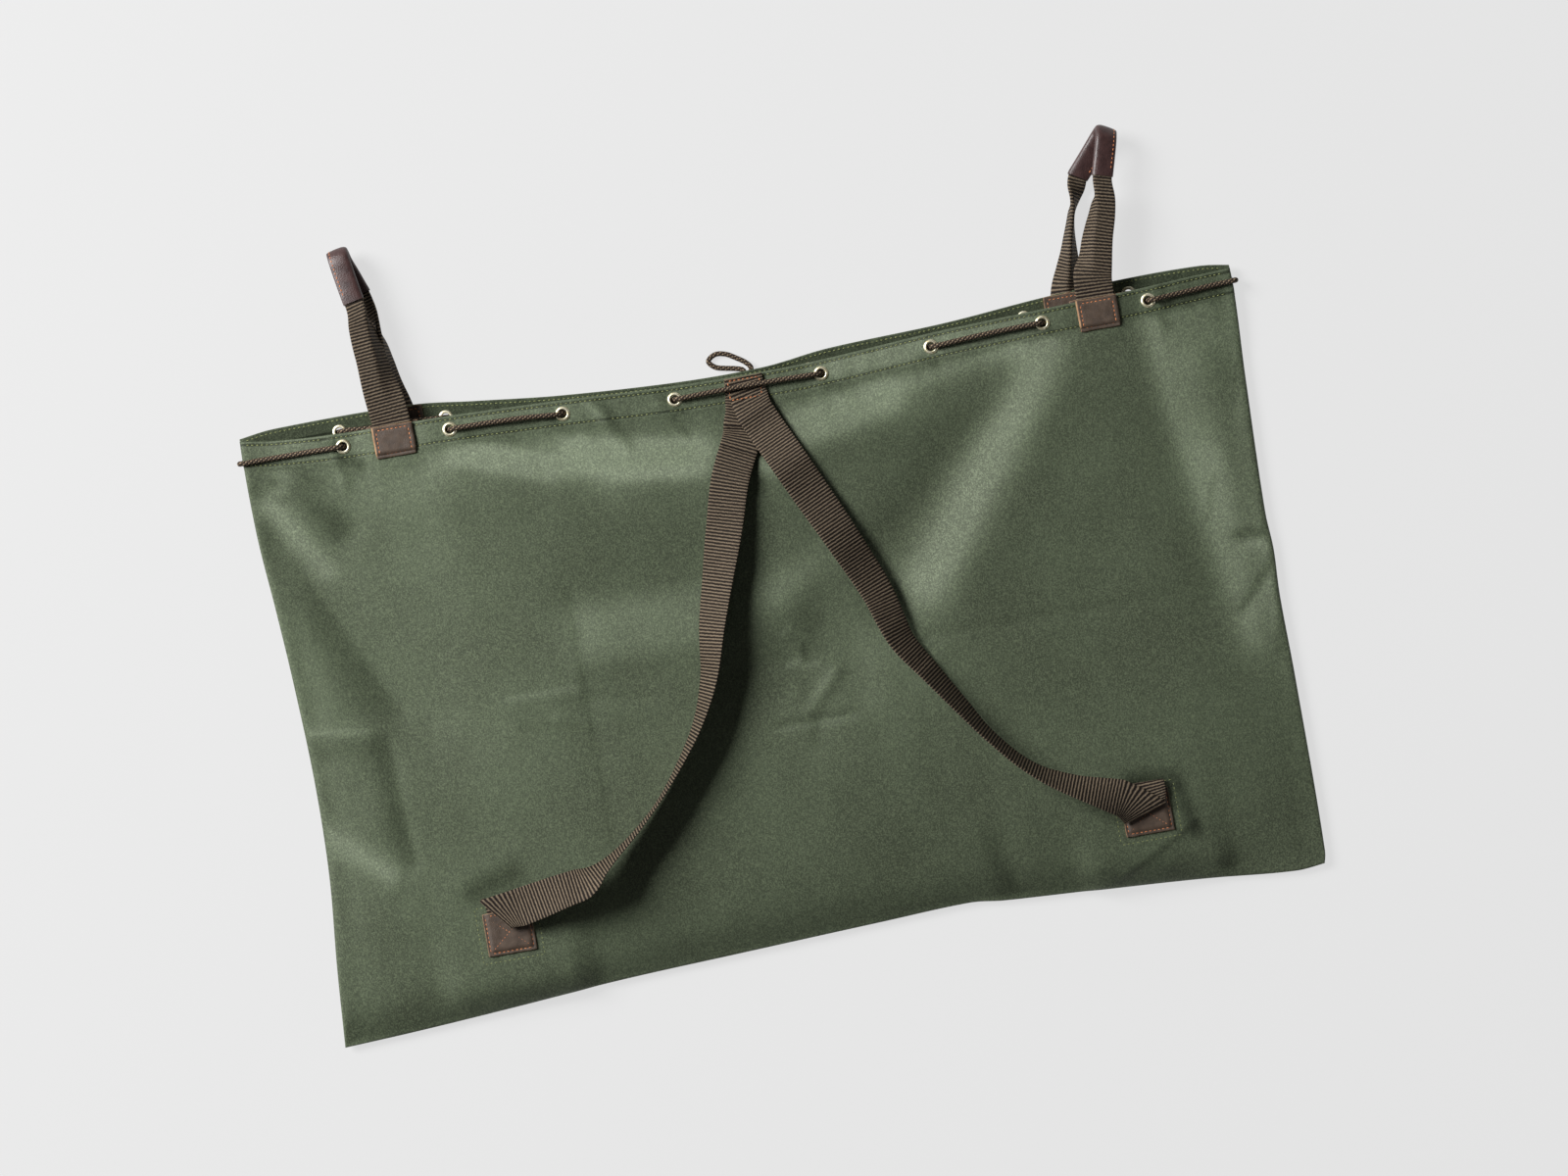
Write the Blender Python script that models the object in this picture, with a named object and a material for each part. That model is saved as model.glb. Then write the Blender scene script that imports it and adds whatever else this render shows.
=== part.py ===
# Game bag: a large flat drawstring sack of coated cloth, lying empty on its back wall.
# X runs along its width, +Y to its mouth and +Z up from the ground. The origin is on the ground,
# under the middle of the back wall. Tables are in millimetres, everything else in metres.

import math
from bisect import bisect_right

import bmesh
import bpy
from mathutils import Matrix, Vector

MM = 0.001

# Driving dimensions
CLOTH = 0.0015               # one layer of coated cloth
HEM = 0.0030                 # the doubled cloth of the mouth hem
HEM_DEPTH = 0.029
HEM_FLAT = 0.040             # the hem and the strip under it that stay flat
GAP = 0.0003                 # between pieces that touch
WEB_WIDTH = 0.040
WEB = 0.0014                 # thickness of the webbing
LEATHER = 0.0020
CORD = 0.0050
EYELET_BORE = 0.0090
EYELET_OUTER = 0.0160
EYELET_BARREL = 0.0100
EYELET_HOLE = 0.0107         # the hole in the cloth, clear of the barrel
EYELET_SIDES = 10
SEAM_LIFT = 0.0065           # the back wall's underside at the seams
MOUTH_LIFT = 0.0078          # the back wall's underside along the mouth
KNOT_LIFT = 0.0062           # and how much more over the knot
KNOT_COLUMNS = [-0.040, -0.014, 0.026, 0.052]
MOUTH_MIDDLE = 0.010         # the front wall's mouth is centred a little to the right
HANDLE_FRONT = 0.382         # from the middle of the mouth to a handle, on the front wall
HANDLE_BACK = 0.3665         # and on the back wall, from the middle of the bag
FRONT_EYELETS = (-0.4375, -0.3215, -0.2000, -0.0795, 0.0795, 0.2000, 0.3215, 0.4375)
BACK_EYELETS = (-0.4300, -0.3150, -0.1960, -0.0780, 0.0780, 0.1960, 0.3150, 0.4300)
EYELETS = {"front": FRONT_EYELETS, "back": BACK_EYELETS}
EYELET_DOWN = 0.0145         # from the rim to the middle of an eyelet
EYELET_FLAT = 0.013          # the cloth stays level this far to each side of an eyelet
HANDLE_FLAT = 0.0305         # and of the middle of a handle's patches
BELLY = 0.034                # how far the front wall stands above the seams
BELLY_RUN = 0.048            # how quickly it rises from them

# The bag's outline: its side seams (y, x), its bottom seam (x, y) and both rims (x, y)
LEFT_SEAM = ((-335, -539), (-250, -533), (-150, -524), (-50, -522), (60, -526), (140, -531),
             (220, -537), (300, -538), (335, -537))
RIGHT_SEAM = ((-330, 529), (-310, 534), (-120, 535), (-30, 534), (20, 536), (60, 534),
              (200, 538), (300, 542), (335, 541))
BOTTOM_SEAM = ((-540, -331), (-460, -329), (-370, -324), (-240, -315), (-110, -309), (50, -302),
               (150, -298), (185, -302), (300, -309), (400, -316), (500, -322), (535, -318))
FRONT_RIM = ((-540, 326), (-500, 320), (-430, 315), (-310, 313), (-200, 309), (-70, 303), (50, 302),
             (120, 305), (215, 311), (330, 315), (440, 319), (500, 322), (545, 322))
BACK_RIM = ((-540, 328), (-500, 333), (-350, 333), (-280, 325), (-190, 315), (-60, 307), (30, 307),
            (100, 315), (230, 320), (330, 328), (420, 333), (510, 332), (545, 322))
# Height of the front rim's upper face above the ground, by distance from the mouth's middle
RIM_HEIGHT = ((0, 27), (80, 28), (140, 31), (200, 34), (320, 37), (382, 35), (437, 29), (500, 17),
              (550, 10))

# Folds of the front wall, each along a line from a to b. rise is over the line, and left and
# right are its widths to each side, looking from a to b.
FOLD_COLUMNS = ("name", "ax", "ay", "bx", "by", "rise", "left", "right")
FOLDS = (
    ("side valley", -540, 240, -412, -5, -10, 42, 24),
    ("side roll", -505, 190, -480, 30, 7, 30, 24),
    ("side ridge", -530, 4, -405, -8, 7, 14, 22),
    ("side bump", -498, -50, -462, -95, 9, 30, 42),
    ("lower side ridge", -520, -165, -440, -188, 6, 40, 34),
    ("left crest", -305, 252, -35, 186, 9, 44, 62),
    ("left step", -215, 98, -85, 90, -4, 22, 22),
    ("left plateau", -215, 28, -90, 18, 5, 44, 18),
    ("pack crease", -216, 105, -216, -180, -3, 13, 13),
    ("left wrinkle", -300, 2, -225, 2, 3, 12, 12),
    ("middle dip", 95, 85, 12, -4, -6, 30, 30),
    ("middle crease", 26, -28, 18, -105, -3, 12, 12),
    ("middle ridge", 130, -20, -25, -72, 4, 44, 26),
    ("right crest", 48, 212, 285, 268, 8, 34, 42),
    ("handle valley", 310, 282, 128, 62, -12, 48, 42),
    ("handle ridge", 372, 250, 185, 10, 7, 90, 44),
    ("right valley", 428, 280, 466, -10, -7, 26, 34),
    ("right roll", 496, 255, 506, 60, 6, 26, 26),
    ("right notch", 540, 14, 488, -38, -6, 12, 12),
    ("upper right notch", 540, 42, 500, 36, -4, 10, 10),
    ("right ridge", 528, -22, 480, -80, 5, 26, 26),
    ("bottom dent", 190, -236, 200, -312, -6, 17, 17),
    ("right crease", 402, -262, 305, -303, -3, 8, 8),
    ("left bottom dent", -430, -296, -350, -310, -4, 26, 20),
    ("corner dent", -475, 262, -434, 212, -5, 15, 15),
)

# The leather patches at the lower ends of the shoulder straps: the middle of each, and its size
STRAP_PATCHES = {"left": (-0.3415, -0.2410), "right": (0.3510, -0.2335)}
STRAP_PATCH_SIZE = (0.052, 0.046)
HANDLE_PATCH_SIZE = (0.043, 0.0335)
INNER_PATCH_SIZE = (0.056, 0.034)
SEAT_REACH = 0.030           # the cloth stays level this far round a strap patch
SEAT_FADE = 0.035

# Free run of each shoulder strap from the mouth down: its middle line, the lift of its lower
# edge above the cloth and how far it is tipped on edge, in degrees
STRAP_COLUMNS = ("x", "y", "lift", "tip")
LEFT_STRAP = (
    (2, 259, 3.0, 0), (-6, 236, 3.2, 0), (-25, 195, 3.6, 6), (-41, 143, 3.6, 18), (-57, 92, 3.6, 36),
    (-72, 42, 3.4, 48), (-85, -12, 3.4, 64), (-106, -59, 3.4, 76), (-132, -97, 3.6, 82),
    (-161, -132, 4.2, 86), (-192, -161, 6.5, 82), (-214, -178, 11, 74), (-232, -190, 17, 58),
    (-250, -199, 20, 38), (-276, -206, 17, 28), (-303, -212, 13.5, 19), (-326, -216.5, 11.5, 10),
)
RIGHT_STRAP = (
    (13, 260, 6.4, 8), (25, 233, 6.8, 10), (61, 152, 4.4, 9), (94, 92, 4.6, 20), (118, 12, 4.6, 43),
    (133, -24, 3.6, 52), (155, -57, 3.4, 58), (177, -90, 3.4, 66), (196, -119, 3.4, 72),
    (225, -154, 3.6, 73), (247, -173, 5, 69), (265, -184, 7, 62), (284, -194, 9, 54),
    (304, -203, 11, 40), (324, -212, 12, 20),
)
# How a strap comes up from under its patch and folds over: its outer and inner edge, from the
# patch's middle (outwards is +x), and their heights over the cloth
TURN_COLUMNS = ("outer x", "outer y", "outer z", "inner x", "inner y", "inner z")
LEFT_TURN = (
    (23.8, 38.3, 11.6, -4.4, 4.5, 11.6), (24.6, 37.6, 10.2, -3.6, 3.8, 10.2),
    (23.8, 38.3, 8.8, -4.4, 4.5, 8.8), (23.4, 38.8, 7.8, -13, 24, 7.8), (23.2, 39, 7.0, -18, 34.4, 7.0),
    (22.6, 39.4, 5.6, -19.4, 36.4, 5.6), (21.8, 38.6, 3.9, -20.2, 36.2, 3.9),
    (21.2, 36.4, 2.5, -20.2, 34.2, 2.5), (20.6, 33, 1.5, -20, 31, 1.5), (20, 27, 1.0, -20, 25, 1.0),
    (20, -16, 1.0, -20, -16, 1.0),
)
RIGHT_TURN = (
    (20.1, 8.7, 11.0, -26.3, -6.6, 11.0), (20.4, 7.7, 9.6, -26, -7.6, 9.6),
    (20.1, 8.7, 8.2, -26.3, -6.6, 8.2), (21.5, 14, 7.6, -24.5, 2, 7.6),
    (23, 21, 7.2, -22, 13, 7.2), (23, 27.5, 6.6, -20.5, 23.5, 6.9),
    (22.5, 31.6, 5.0, -20.2, 30, 5.8), (21.6, 31.8, 3.2, -20, 32.4, 3.8),
    (20.8, 28.6, 1.8, -20, 29.6, 2.0), (20, 22, 1.0, -20, 23, 1.0), (20, -16, 1.0, -20, -16, 1.0),
)

# Handle loops from the front wall to the back wall: the middle line, the twist in degrees and how
# far the webbing is folded in half along its middle, from 0 to 1
HANDLE_COLUMNS = ("x", "y", "z", "twist", "fold")
LEFT_HANDLE = (
    (-373, 338, 37.5, 2, 0.03), (-377, 360, 37.5, 15, 0.12), (-381, 383, 37, 38, 0.32),
    (-385, 411, 36, 66, 0.66), (-387, 430, 35, 84, 0.94), (-389, 447, 34, 90, 1), (-392, 468, 33, 90, 1),
    (-395, 486, 32.2, 90, 1), (-396.5, 496, 31.6, 90, 1), (-397.5, 503, 28.6, 90, 1), (-398, 506, 22, 90, 1),
    (-397.5, 503, 15.4, 90, 1), (-396, 496, 12.4, 90, 1), (-391, 480, 10.8, 90, 1),
    (-382, 458, 10, 90, 1), (-379, 440, 11, 80, 0.98), (-377, 412, 13.5, 50, 0.84),
    (-374, 380, 12.5, 16, 0.44), (-369, 352, 8, 2, 0.08),
)
RIGHT_HANDLE = (
    (393, 340, 37.5, 2, 0.03), (400, 358, 37.5, 16, 0.12), (408, 380, 37, 38, 0.30),
    (416, 404, 36, 66, 0.66), (420, 424, 35, 84, 0.94), (422, 443, 34, 90, 1), (427, 463, 33.2, 90, 1),
    (431.5, 479, 32.4, 90, 1), (433.5, 487, 30, 90, 1), (434.5, 492, 24.5, 90, 1), (433, 491, 18, 90, 1),
    (429, 486.5, 13.4, 90, 1), (421, 477, 11.4, 90, 1), (409, 463, 10.8, 90, 1),
    (396, 447, 10.5, 90, 1), (391.5, 434, 11.5, 76, 0.97), (387, 420, 13, 54, 0.92),
    (382, 403, 14, 30, 0.88), (376, 382, 13.5, 10, 0.74), (369, 352, 8.5, 0, 0.2),
)
GRIP_WALL = 0.0012
GRIP_SECTION = (0.0072, 0.0206)   # inside, across and along the folded webbing
GRIP_CORNER = 0.0010

# Drawcord, in the order in which it is laced from the knot: wall, eyelet and whether it goes in
LACING = (
    ("back", 3, True), ("back", 2, False), ("back", 1, True), ("back", 0, False),
    ("front", 0, True), ("front", 1, False), ("front", 2, True), ("front", 3, False),
    ("front", 4, True), ("front", 5, False), ("front", 6, True), ("front", 7, False),
    ("back", 7, True), ("back", 6, False), ("back", 5, True), ("back", 4, False),
)
CORD_CLEAR = 0.0050          # from the cloth's face to the middle of the cord beside an eyelet
CORD_STEEP = math.radians(80)
INSIDE_HANDLE = 0.0066       # and inside, where it passes a handle's inner patch
EDGE_STAND = 0.0034          # from the walls' edge to the middle of the cord round it
EDGE_RUN = ((16, 1, 3.6), (45, 5, 4.2), (75, 6, 4.6))   # on the front: inwards, down, above the cloth
KNOT = (6, 297, 6.4)         # its middle
KNOT_RADIUS = (0.0085, 0.0075, 0.0056)
BOW_LOOP = ((-2.4, 301.4, 6.2), (-9, 308, 5.4), (-18, 315, 4.2), (-27, 320, 3.2), (-31, 325, 2.8),
            (-27, 329, 2.8), (-17, 329, 2.8), (-4, 324, 3.0), (6, 317, 4.0), (12, 309, 5.4), (11.4, 304.0, 6.2))
HIDDEN_LOOP = ((13.8, 290.0, 8.4), (24, 284.5, 6.4), (37, 281, 4.6), (48, 275, 3.6), (52, 268, 3.4),
               (45, 263, 3.2), (34, 266, 3.0), (21, 277, 2.9), (10.2, 290.6, 3.0))
CORD_ENDS = (
    ((-0.5, 291.3, 6.0), (-6, 284, 4.6), (-12, 275, 3.4), (-15, 265, 3.2), (-16, 256, 3.2)),
    ((5.2, 289.2, 6.0), (4, 281, 4.6), (4, 271, 3.4), (6, 262, 3.2), (4, 254, 3.2)),
)

COLOURS = {
    "coated cloth": ("#56644e", 0.48, 0.0),
    "webbing": ("#4a3e33", 0.75, 0.0),
    "patch leather": ("#4d3a33", 0.6, 0.0),
    "grip leather": ("#3f2c2b", 0.42, 0.0),
    "eyelet brass": ("#cfc6a2", 0.3, 1.0),
    "braided cord": ("#3d3229", 0.8, 0.0),
}


def smooth(value, low, high):
    t = min(max((value - low) / (high - low), 0.0), 1.0)
    return t * t * (3 - 2 * t)


def table(rows, at):
    """A smooth curve through a table's rows, read in metres."""
    at = at / MM
    xs = [row[0] for row in rows]
    k = min(max(bisect_right(xs, at) - 1, 0), len(rows) - 2)
    x0, y0 = rows[k]
    x1, y1 = rows[k + 1]
    t = min(max((at - x0) / (x1 - x0), 0.0), 1.0)
    before = rows[k - 1] if k else rows[k]
    after = rows[k + 2] if k + 2 < len(rows) else rows[k + 1]
    m0 = (y1 - before[1]) / (x1 - before[0]) * (x1 - x0)
    m1 = (after[1] - y0) / (after[0] - x0) * (x1 - x0)
    h = (2 * t ** 3 - 3 * t ** 2 + 1) * y0 + (t ** 3 - 2 * t ** 2 + t) * m0
    return (h + (3 * t ** 2 - 2 * t ** 3) * y1 + (t ** 3 - t ** 2) * m1) * MM


def spline(rows, count):
    """Points at even steps along a Catmull-Rom curve through the rows of a table."""
    knots = [tuple(row) for row in rows]
    knots = [tuple(2 * a - b for a, b in zip(knots[0], knots[1]))] + knots
    knots.append(tuple(2 * a - b for a, b in zip(knots[-1], knots[-2])))
    fine = []
    for k in range(1, len(knots) - 2):
        for step in range(12):
            t = step / 12
            fine.append(tuple(
                0.5 * (2 * b + (c - a) * t + (2 * a - 5 * b + 4 * c - d) * t * t
                       + (3 * b - a - 3 * c + d) * t ** 3)
                for a, b, c, d in zip(*knots[k - 1:k + 3])))
    fine.append(knots[-2])
    run = [0.0]
    for a, b in zip(fine, fine[1:]):
        run.append(run[-1] + math.dist(a[:2], b[:2]) + 1e-9)
    out = []
    for n in range(count):
        want = run[-1] * n / (count - 1)
        k = min(max(bisect_right(run, want) - 1, 0), len(fine) - 2)
        t = min((want - run[k]) / (run[k + 1] - run[k]), 1.0)
        out.append(tuple(a + (b - a) * t for a, b in zip(fine[k], fine[k + 1])))
    return out


def fold_height(x, y):
    total = 0.0
    for _name, ax, ay, bx, by, rise, left, right in FOLDS:
        along = Vector(((bx - ax) * MM, (by - ay) * MM))
        length = along.length
        along /= length
        off = Vector((x - ax * MM, y - ay * MM))
        s = off.dot(along)
        side = along.x * off.y - along.y * off.x
        width = (left if side > 0 else right) * MM
        past = max(-s, s - length, 0.0)
        total += rise * MM * math.exp(-(side / width) ** 2 - (past / (0.8 * width)) ** 2)
    return total


def level_spots(side):
    """Where the hem lies level: the middle of each eyelet and handle, and the reach to each side."""
    if side == "front":
        spots = [(MOUTH_MIDDLE + offset, EYELET_FLAT) for offset in FRONT_EYELETS]
        return spots + [(MOUTH_MIDDLE + s * HANDLE_FRONT, HANDLE_FLAT) for s in (-1, 1)]
    spots = [(offset, EYELET_FLAT) for offset in BACK_EYELETS]
    return spots + [(s * HANDLE_BACK, HANDLE_FLAT) for s in (-1, 1)]


def level_x(x, side):
    """x, held at the middle of the level spot that it lies in."""
    for middle, reach in level_spots(side):
        if abs(x - middle) <= reach + 1e-6:
            return middle
    return x


def rim_height(x):
    return table(RIM_HEIGHT, abs(level_x(x, "front") - MOUTH_MIDDLE))


def seam_top(x, y):
    """Upper face of the front wall where both walls lie on each other."""
    layer = CLOTH + (HEM - CLOTH) * smooth(y, 0.262, 0.282)
    return back_bottom(x, y) + 2 * layer + GAP


def front_top(x, y):
    """Upper face of the front wall: a low belly that its folds cross, down to the seams and hem."""
    seam = seam_top(x, y)
    inset = [x - table(LEFT_SEAM, y), table(RIGHT_SEAM, y) - x, y - table(BOTTOM_SEAM, x)]
    rise = [1 - math.exp(-max(d, 0) / BELLY_RUN) for d in inset]
    fade = 1 - math.exp(-max(min(inset), 0) / 0.022)
    belly = seam + BELLY * rise[0] * rise[1] * rise[2] + fold_height(x, y) * fade
    rim = max(rim_height(x), seam)
    z = rim + (belly - rim) * smooth(table(FRONT_RIM, x) - y, HEM_FLAT, HEM_FLAT + 0.065)
    for cx, cy in STRAP_PATCHES.values():
        away = math.hypot(max(abs(x - cx) - STRAP_PATCH_SIZE[0] / 2 - SEAT_REACH, 0),
                          max(abs(y - cy) - STRAP_PATCH_SIZE[1] / 2 - SEAT_REACH, 0))
        z += (seat_height(cx, cy) - z) * (1 - smooth(away, 0, SEAT_FADE))
    return max(z, seam)


def seat_height(cx, cy):
    side = min(cx - table(LEFT_SEAM, cy), table(RIGHT_SEAM, cy) - cx)
    low = cy - table(BOTTOM_SEAM, cx)
    rise = (1 - math.exp(-side / BELLY_RUN)) * (1 - math.exp(-low / BELLY_RUN))
    return seam_top(cx, cy) + SEAM_LIFT + BELLY * rise


def back_bottom(x, y):
    """Lower face of the back wall: level on the ground, lifted at its seams and along the mouth."""
    inset = min(x - table(LEFT_SEAM, y), table(RIGHT_SEAM, y) - x, y - table(BOTTOM_SEAM, x))
    curl = SEAM_LIFT * (1 - smooth(inset, 0.0, 0.022))
    level = level_x(x, "back")
    mouth = smooth(y, 0.175, 0.268) * (MOUTH_LIFT + KNOT_LIFT * math.exp(-((level - 0.006) / 0.045) ** 2))
    return max(curl, mouth)


def sheet(name, columns, rows, place, depth, material):
    """A closed sheet over a grid: place gives its upper or outer face, depth its thickness there."""
    mesh = bmesh.new()
    grid = [[mesh.verts.new(place(u, v)) for u in columns] for v in rows]
    for low, high in zip(grid, grid[1:]):
        for k in range(len(columns) - 1):
            mesh.faces.new((low[k], low[k + 1], high[k + 1], high[k]))
    sides = {vert: (u, v) for line, v in zip(grid, rows) for vert, u in zip(line, columns)}
    made = bmesh.ops.extrude_face_region(mesh, geom=mesh.faces[:])["geom"]
    twins = [part for part in made if isinstance(part, bmesh.types.BMVert)]
    where = {vert.co.copy().freeze(): key for vert, key in sides.items()}
    for vert in twins:
        vert.co.z += depth(*where[vert.co.copy().freeze()])
    return finish(mesh, name, material)


def finish(mesh, name, material, soft=True):
    bmesh.ops.recalc_face_normals(mesh, faces=mesh.faces[:])
    data = bpy.data.meshes.new(name)
    mesh.to_mesh(data)
    mesh.free()
    thing = bpy.data.objects.new(name, data)
    bpy.context.collection.objects.link(thing)
    data.materials.append(MATERIALS[material])
    if soft:
        data.shade_smooth()
        data.set_sharp_from_angle(angle=math.radians(40))
    return thing


def loft(name, sections, material):
    """A closed ribbon through a list of sections, each its upper points and then its lower ones."""
    mesh = bmesh.new()
    rings = [[mesh.verts.new(point) for point in section] for section in sections]
    count = len(rings[0])
    for low, high in zip(rings, rings[1:]):
        for k in range(count):
            a, b, c, d = low[k], low[(k + 1) % count], high[(k + 1) % count], high[k]
            # both faces split along the same diagonal, so a twisted strip keeps its thickness
            if k < count / 2:
                mesh.faces.new((a, b, c))
                mesh.faces.new((a, c, d))
            else:
                mesh.faces.new((a, b, d))
                mesh.faces.new((b, c, d))
    mesh.faces.new(rings[0])
    mesh.faces.new(rings[-1])
    return finish(mesh, name, material)


def band_columns(marks, limit, widest):
    """Column places from edge to edge through every mark, with no step wider than widest."""
    fixed = sorted({round(mark, 5) for mark in marks} | {-limit, limit})
    out = [fixed[0]]
    for mark in fixed[1:]:
        steps = max(1, math.ceil((mark - out[-1]) / widest - 1e-6))
        start = out[-1]
        out += [start + (mark - start) * (k + 1) / steps for k in range(steps)]
    return out


def wall_point(u, v, half, rim, height):
    """A point of a wall: u is x at the middle, and v is the distance under the rim or, below
    the hem, one plus the share of the way down to the bottom seam."""
    x = u
    for _ in range(2):
        top = table(rim, x)
        y = top - v if v < 1 else top - HEM_FLAT - (v - 1) * (top - HEM_FLAT - table(BOTTOM_SEAM, x))
        pull = smooth(abs(u), half - 0.074, half)
        edge = table(LEFT_SEAM, y) if u < 0 else table(RIGHT_SEAM, y)
        x = u + (edge - math.copysign(half, u)) * pull
    return Vector((x, y, height(x, y)))


def wall(name, side):
    half = 0.538
    front = side == "front"
    eyelets = FRONT_EYELETS if front else BACK_EYELETS
    marks = [at + s * reach for at, reach in level_spots(side) for s in (-1, 1)]
    marks += [s * (half - d) for s in (-1, 1) for d in ((0.007, 0.019, 0.036) if front else (0.010, 0.024))]
    shares = (0.06, 0.13, 0.21, 0.30, 0.39, 0.48, 0.57, 0.66, 0.75, 0.84, 0.92, 0.97, 1.0)
    if not front:
        shares = (0.07, 0.14, 0.22, 0.50, 0.80, 0.96, 0.98, 1.0)
    rows = [0.0, HEM_DEPTH, HEM_DEPTH + 0.003, HEM_FLAT] + [1 + share for share in shares]
    if not front:
        marks += KNOT_COLUMNS
    columns = band_columns(marks, half, 0.0445 if front else 0.120)
    rim, height = (FRONT_RIM, front_top) if front else (BACK_RIM, back_bottom)
    sign = -1 if front else 1

    def depth(_u, v):
        return sign * (HEM if v <= HEM_DEPTH + 1e-6 else CLOTH)

    panel = sheet(name, columns, rows, lambda u, v: wall_point(u, v, half, rim, height), depth,
                  "coated cloth")
    holes = bmesh.new()
    for eyelet in eyelets:
        x, y, z = eyelet_place(side, eyelet)
        bmesh.ops.create_cone(
            holes, segments=EYELET_SIDES + 2, radius1=EYELET_HOLE / 2, radius2=EYELET_HOLE / 2,
            depth=0.02, cap_ends=True, matrix=Matrix.Translation((x, y, z)))
    cutter = finish(holes, name + "_holes", "coated cloth")
    cutter.hide_render = True
    cutter.display_type = "WIRE"
    cut = panel.modifiers.new("eyelet holes", "BOOLEAN")
    cut.object = cutter
    cut.operation = "DIFFERENCE"


def eyelet_place(side, eyelet):
    """Middle of an eyelet on the wall's outer face."""
    if side == "front":
        x = MOUTH_MIDDLE + eyelet
        y = table(FRONT_RIM, x) - EYELET_DOWN
        return x, y, front_top(x, y)
    y = table(BACK_RIM, eyelet) - EYELET_DOWN
    return eyelet, y, back_bottom(eyelet, y)


def eyelet(name, side, offset):
    """A rolled eyelet: flange outside, barrel through the hem, clenched ring inside."""
    x, y, z = eyelet_place(side, offset)
    out = 1 if side == "front" else -1
    bore, barrel, outer = EYELET_BORE / 2, EYELET_BARREL / 2, EYELET_OUTER / 2
    profile = ((bore, 0.0006), (0.0056, 0.0012), (outer, GAP), (barrel, GAP),
               (barrel, -HEM - GAP), (0.0076, -HEM - GAP), (bore, -HEM - 0.0009))
    mesh = bmesh.new()
    rings = []
    for k in range(EYELET_SIDES):
        turn = 2 * math.pi * k / EYELET_SIDES
        rings.append([mesh.verts.new((x + r * math.cos(turn), y + r * math.sin(turn), z + out * h))
                      for r, h in profile])
    for k, ring in enumerate(rings):
        after = rings[(k + 1) % EYELET_SIDES]
        for j in range(len(profile)):
            i = (j + 1) % len(profile)
            mesh.faces.new((ring[j], ring[i], after[i], after[j]))
    finish(mesh, name, "eyelet brass")


def ribbon_section(rails, thickness):
    """A closed loop round a strip given by its points across, thickened along its normals."""
    over, under = [], []
    for k, point in enumerate(rails["points"]):
        offset = rails["normals"][k] * thickness / 2
        over.append(point + offset)
        under.append(point - offset)
    return over + under[::-1]


def strap_rails(side):
    """Outer and inner edge of a shoulder strap from the mouth to its patch."""
    rows = LEFT_STRAP if side == "left" else RIGHT_STRAP
    # from the patch's point of view the outer edge is to the left of the left strap
    out = -1 if side == "left" else 1
    pairs = []
    root_x, root_y, root_z = strap_root(side)
    for drop, lift in ((0.0, 0.0), (0.014, 0.0), (0.026, 0.0007 if side == "right" else 0.0)):
        pairs.append((Vector((root_x + out * WEB_WIDTH / 2, root_y - drop, root_z + lift)),
                      Vector((root_x - out * WEB_WIDTH / 2, root_y - drop, root_z + lift))))
    points = spline(rows, 21)
    for k, (x, y, lift, tip) in enumerate(points):
        before, after = points[max(k - 1, 0)], points[min(k + 1, len(points) - 1)]
        ahead = Vector((after[0] - before[0], after[1] - before[1], 0)).normalized()
        across = Vector((ahead.y, -ahead.x, 0)) * out          # towards the inner edge, from above
        tilt = math.radians(tip)
        half = across * (WEB_WIDTH / 2 * math.cos(tilt))
        middle = Vector((x * MM, y * MM, 0))
        outer, inner = middle - half, middle + half
        high = WEB_WIDTH * math.sin(tilt)
        # both straps stand on their outer edge
        low, up = outer, inner
        low.z = max(front_top(low.x, low.y), front_top(low.x * 0.5 + up.x * 0.5, low.y * 0.5 + up.y * 0.5)
                    - high / 2) + lift * MM
        up.z = low.z + high
        if tip < 1:
            low.z = up.z = max(front_top(p.x, p.y) for p in (low, up, (low + up) / 2)) + lift * MM
        pairs.append((outer, inner))
    cx, cy = STRAP_PATCHES[side]
    ground = front_top(cx, cy)
    for ox, oy, oz, ix, iy, iz in LEFT_TURN if side == "left" else RIGHT_TURN:
        pairs.append((Vector((cx + out * ox * MM, cy + oy * MM, ground + oz * MM)),
                      Vector((cx + out * ix * MM, cy + iy * MM, ground + iz * MM))))
    return pairs


def strap_root(side):
    """Top end of a shoulder strap: the right one is sewn over the left one."""
    y = table(FRONT_RIM, MOUTH_MIDDLE) - 0.0015
    layer = GAP + WEB / 2 + (WEB + GAP if side == "right" else 0)
    return 0.0065, y, front_top(0.0065, y - 0.01) + layer


def shoulder_strap(side):
    pairs = strap_rails(side)
    sections = []
    for k, (outer, inner) in enumerate(pairs):
        before, after = pairs[max(k - 1, 0)], pairs[min(k + 1, len(pairs) - 1)]
        across = (inner - outer).normalized()
        middle = (outer + inner) / 2
        ahead = (sum(after, Vector()) / 2 - middle).normalized() + (middle - sum(before, Vector()) / 2).normalized()
        # cloth folds along straight lines, so one normal serves both edges
        normal = ahead.cross(across).normalized()
        sections.append(ribbon_section({"points": [outer, inner], "normals": [normal, normal]}, WEB))
    loft("shoulder_strap_" + side, sections, "webbing")


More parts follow.
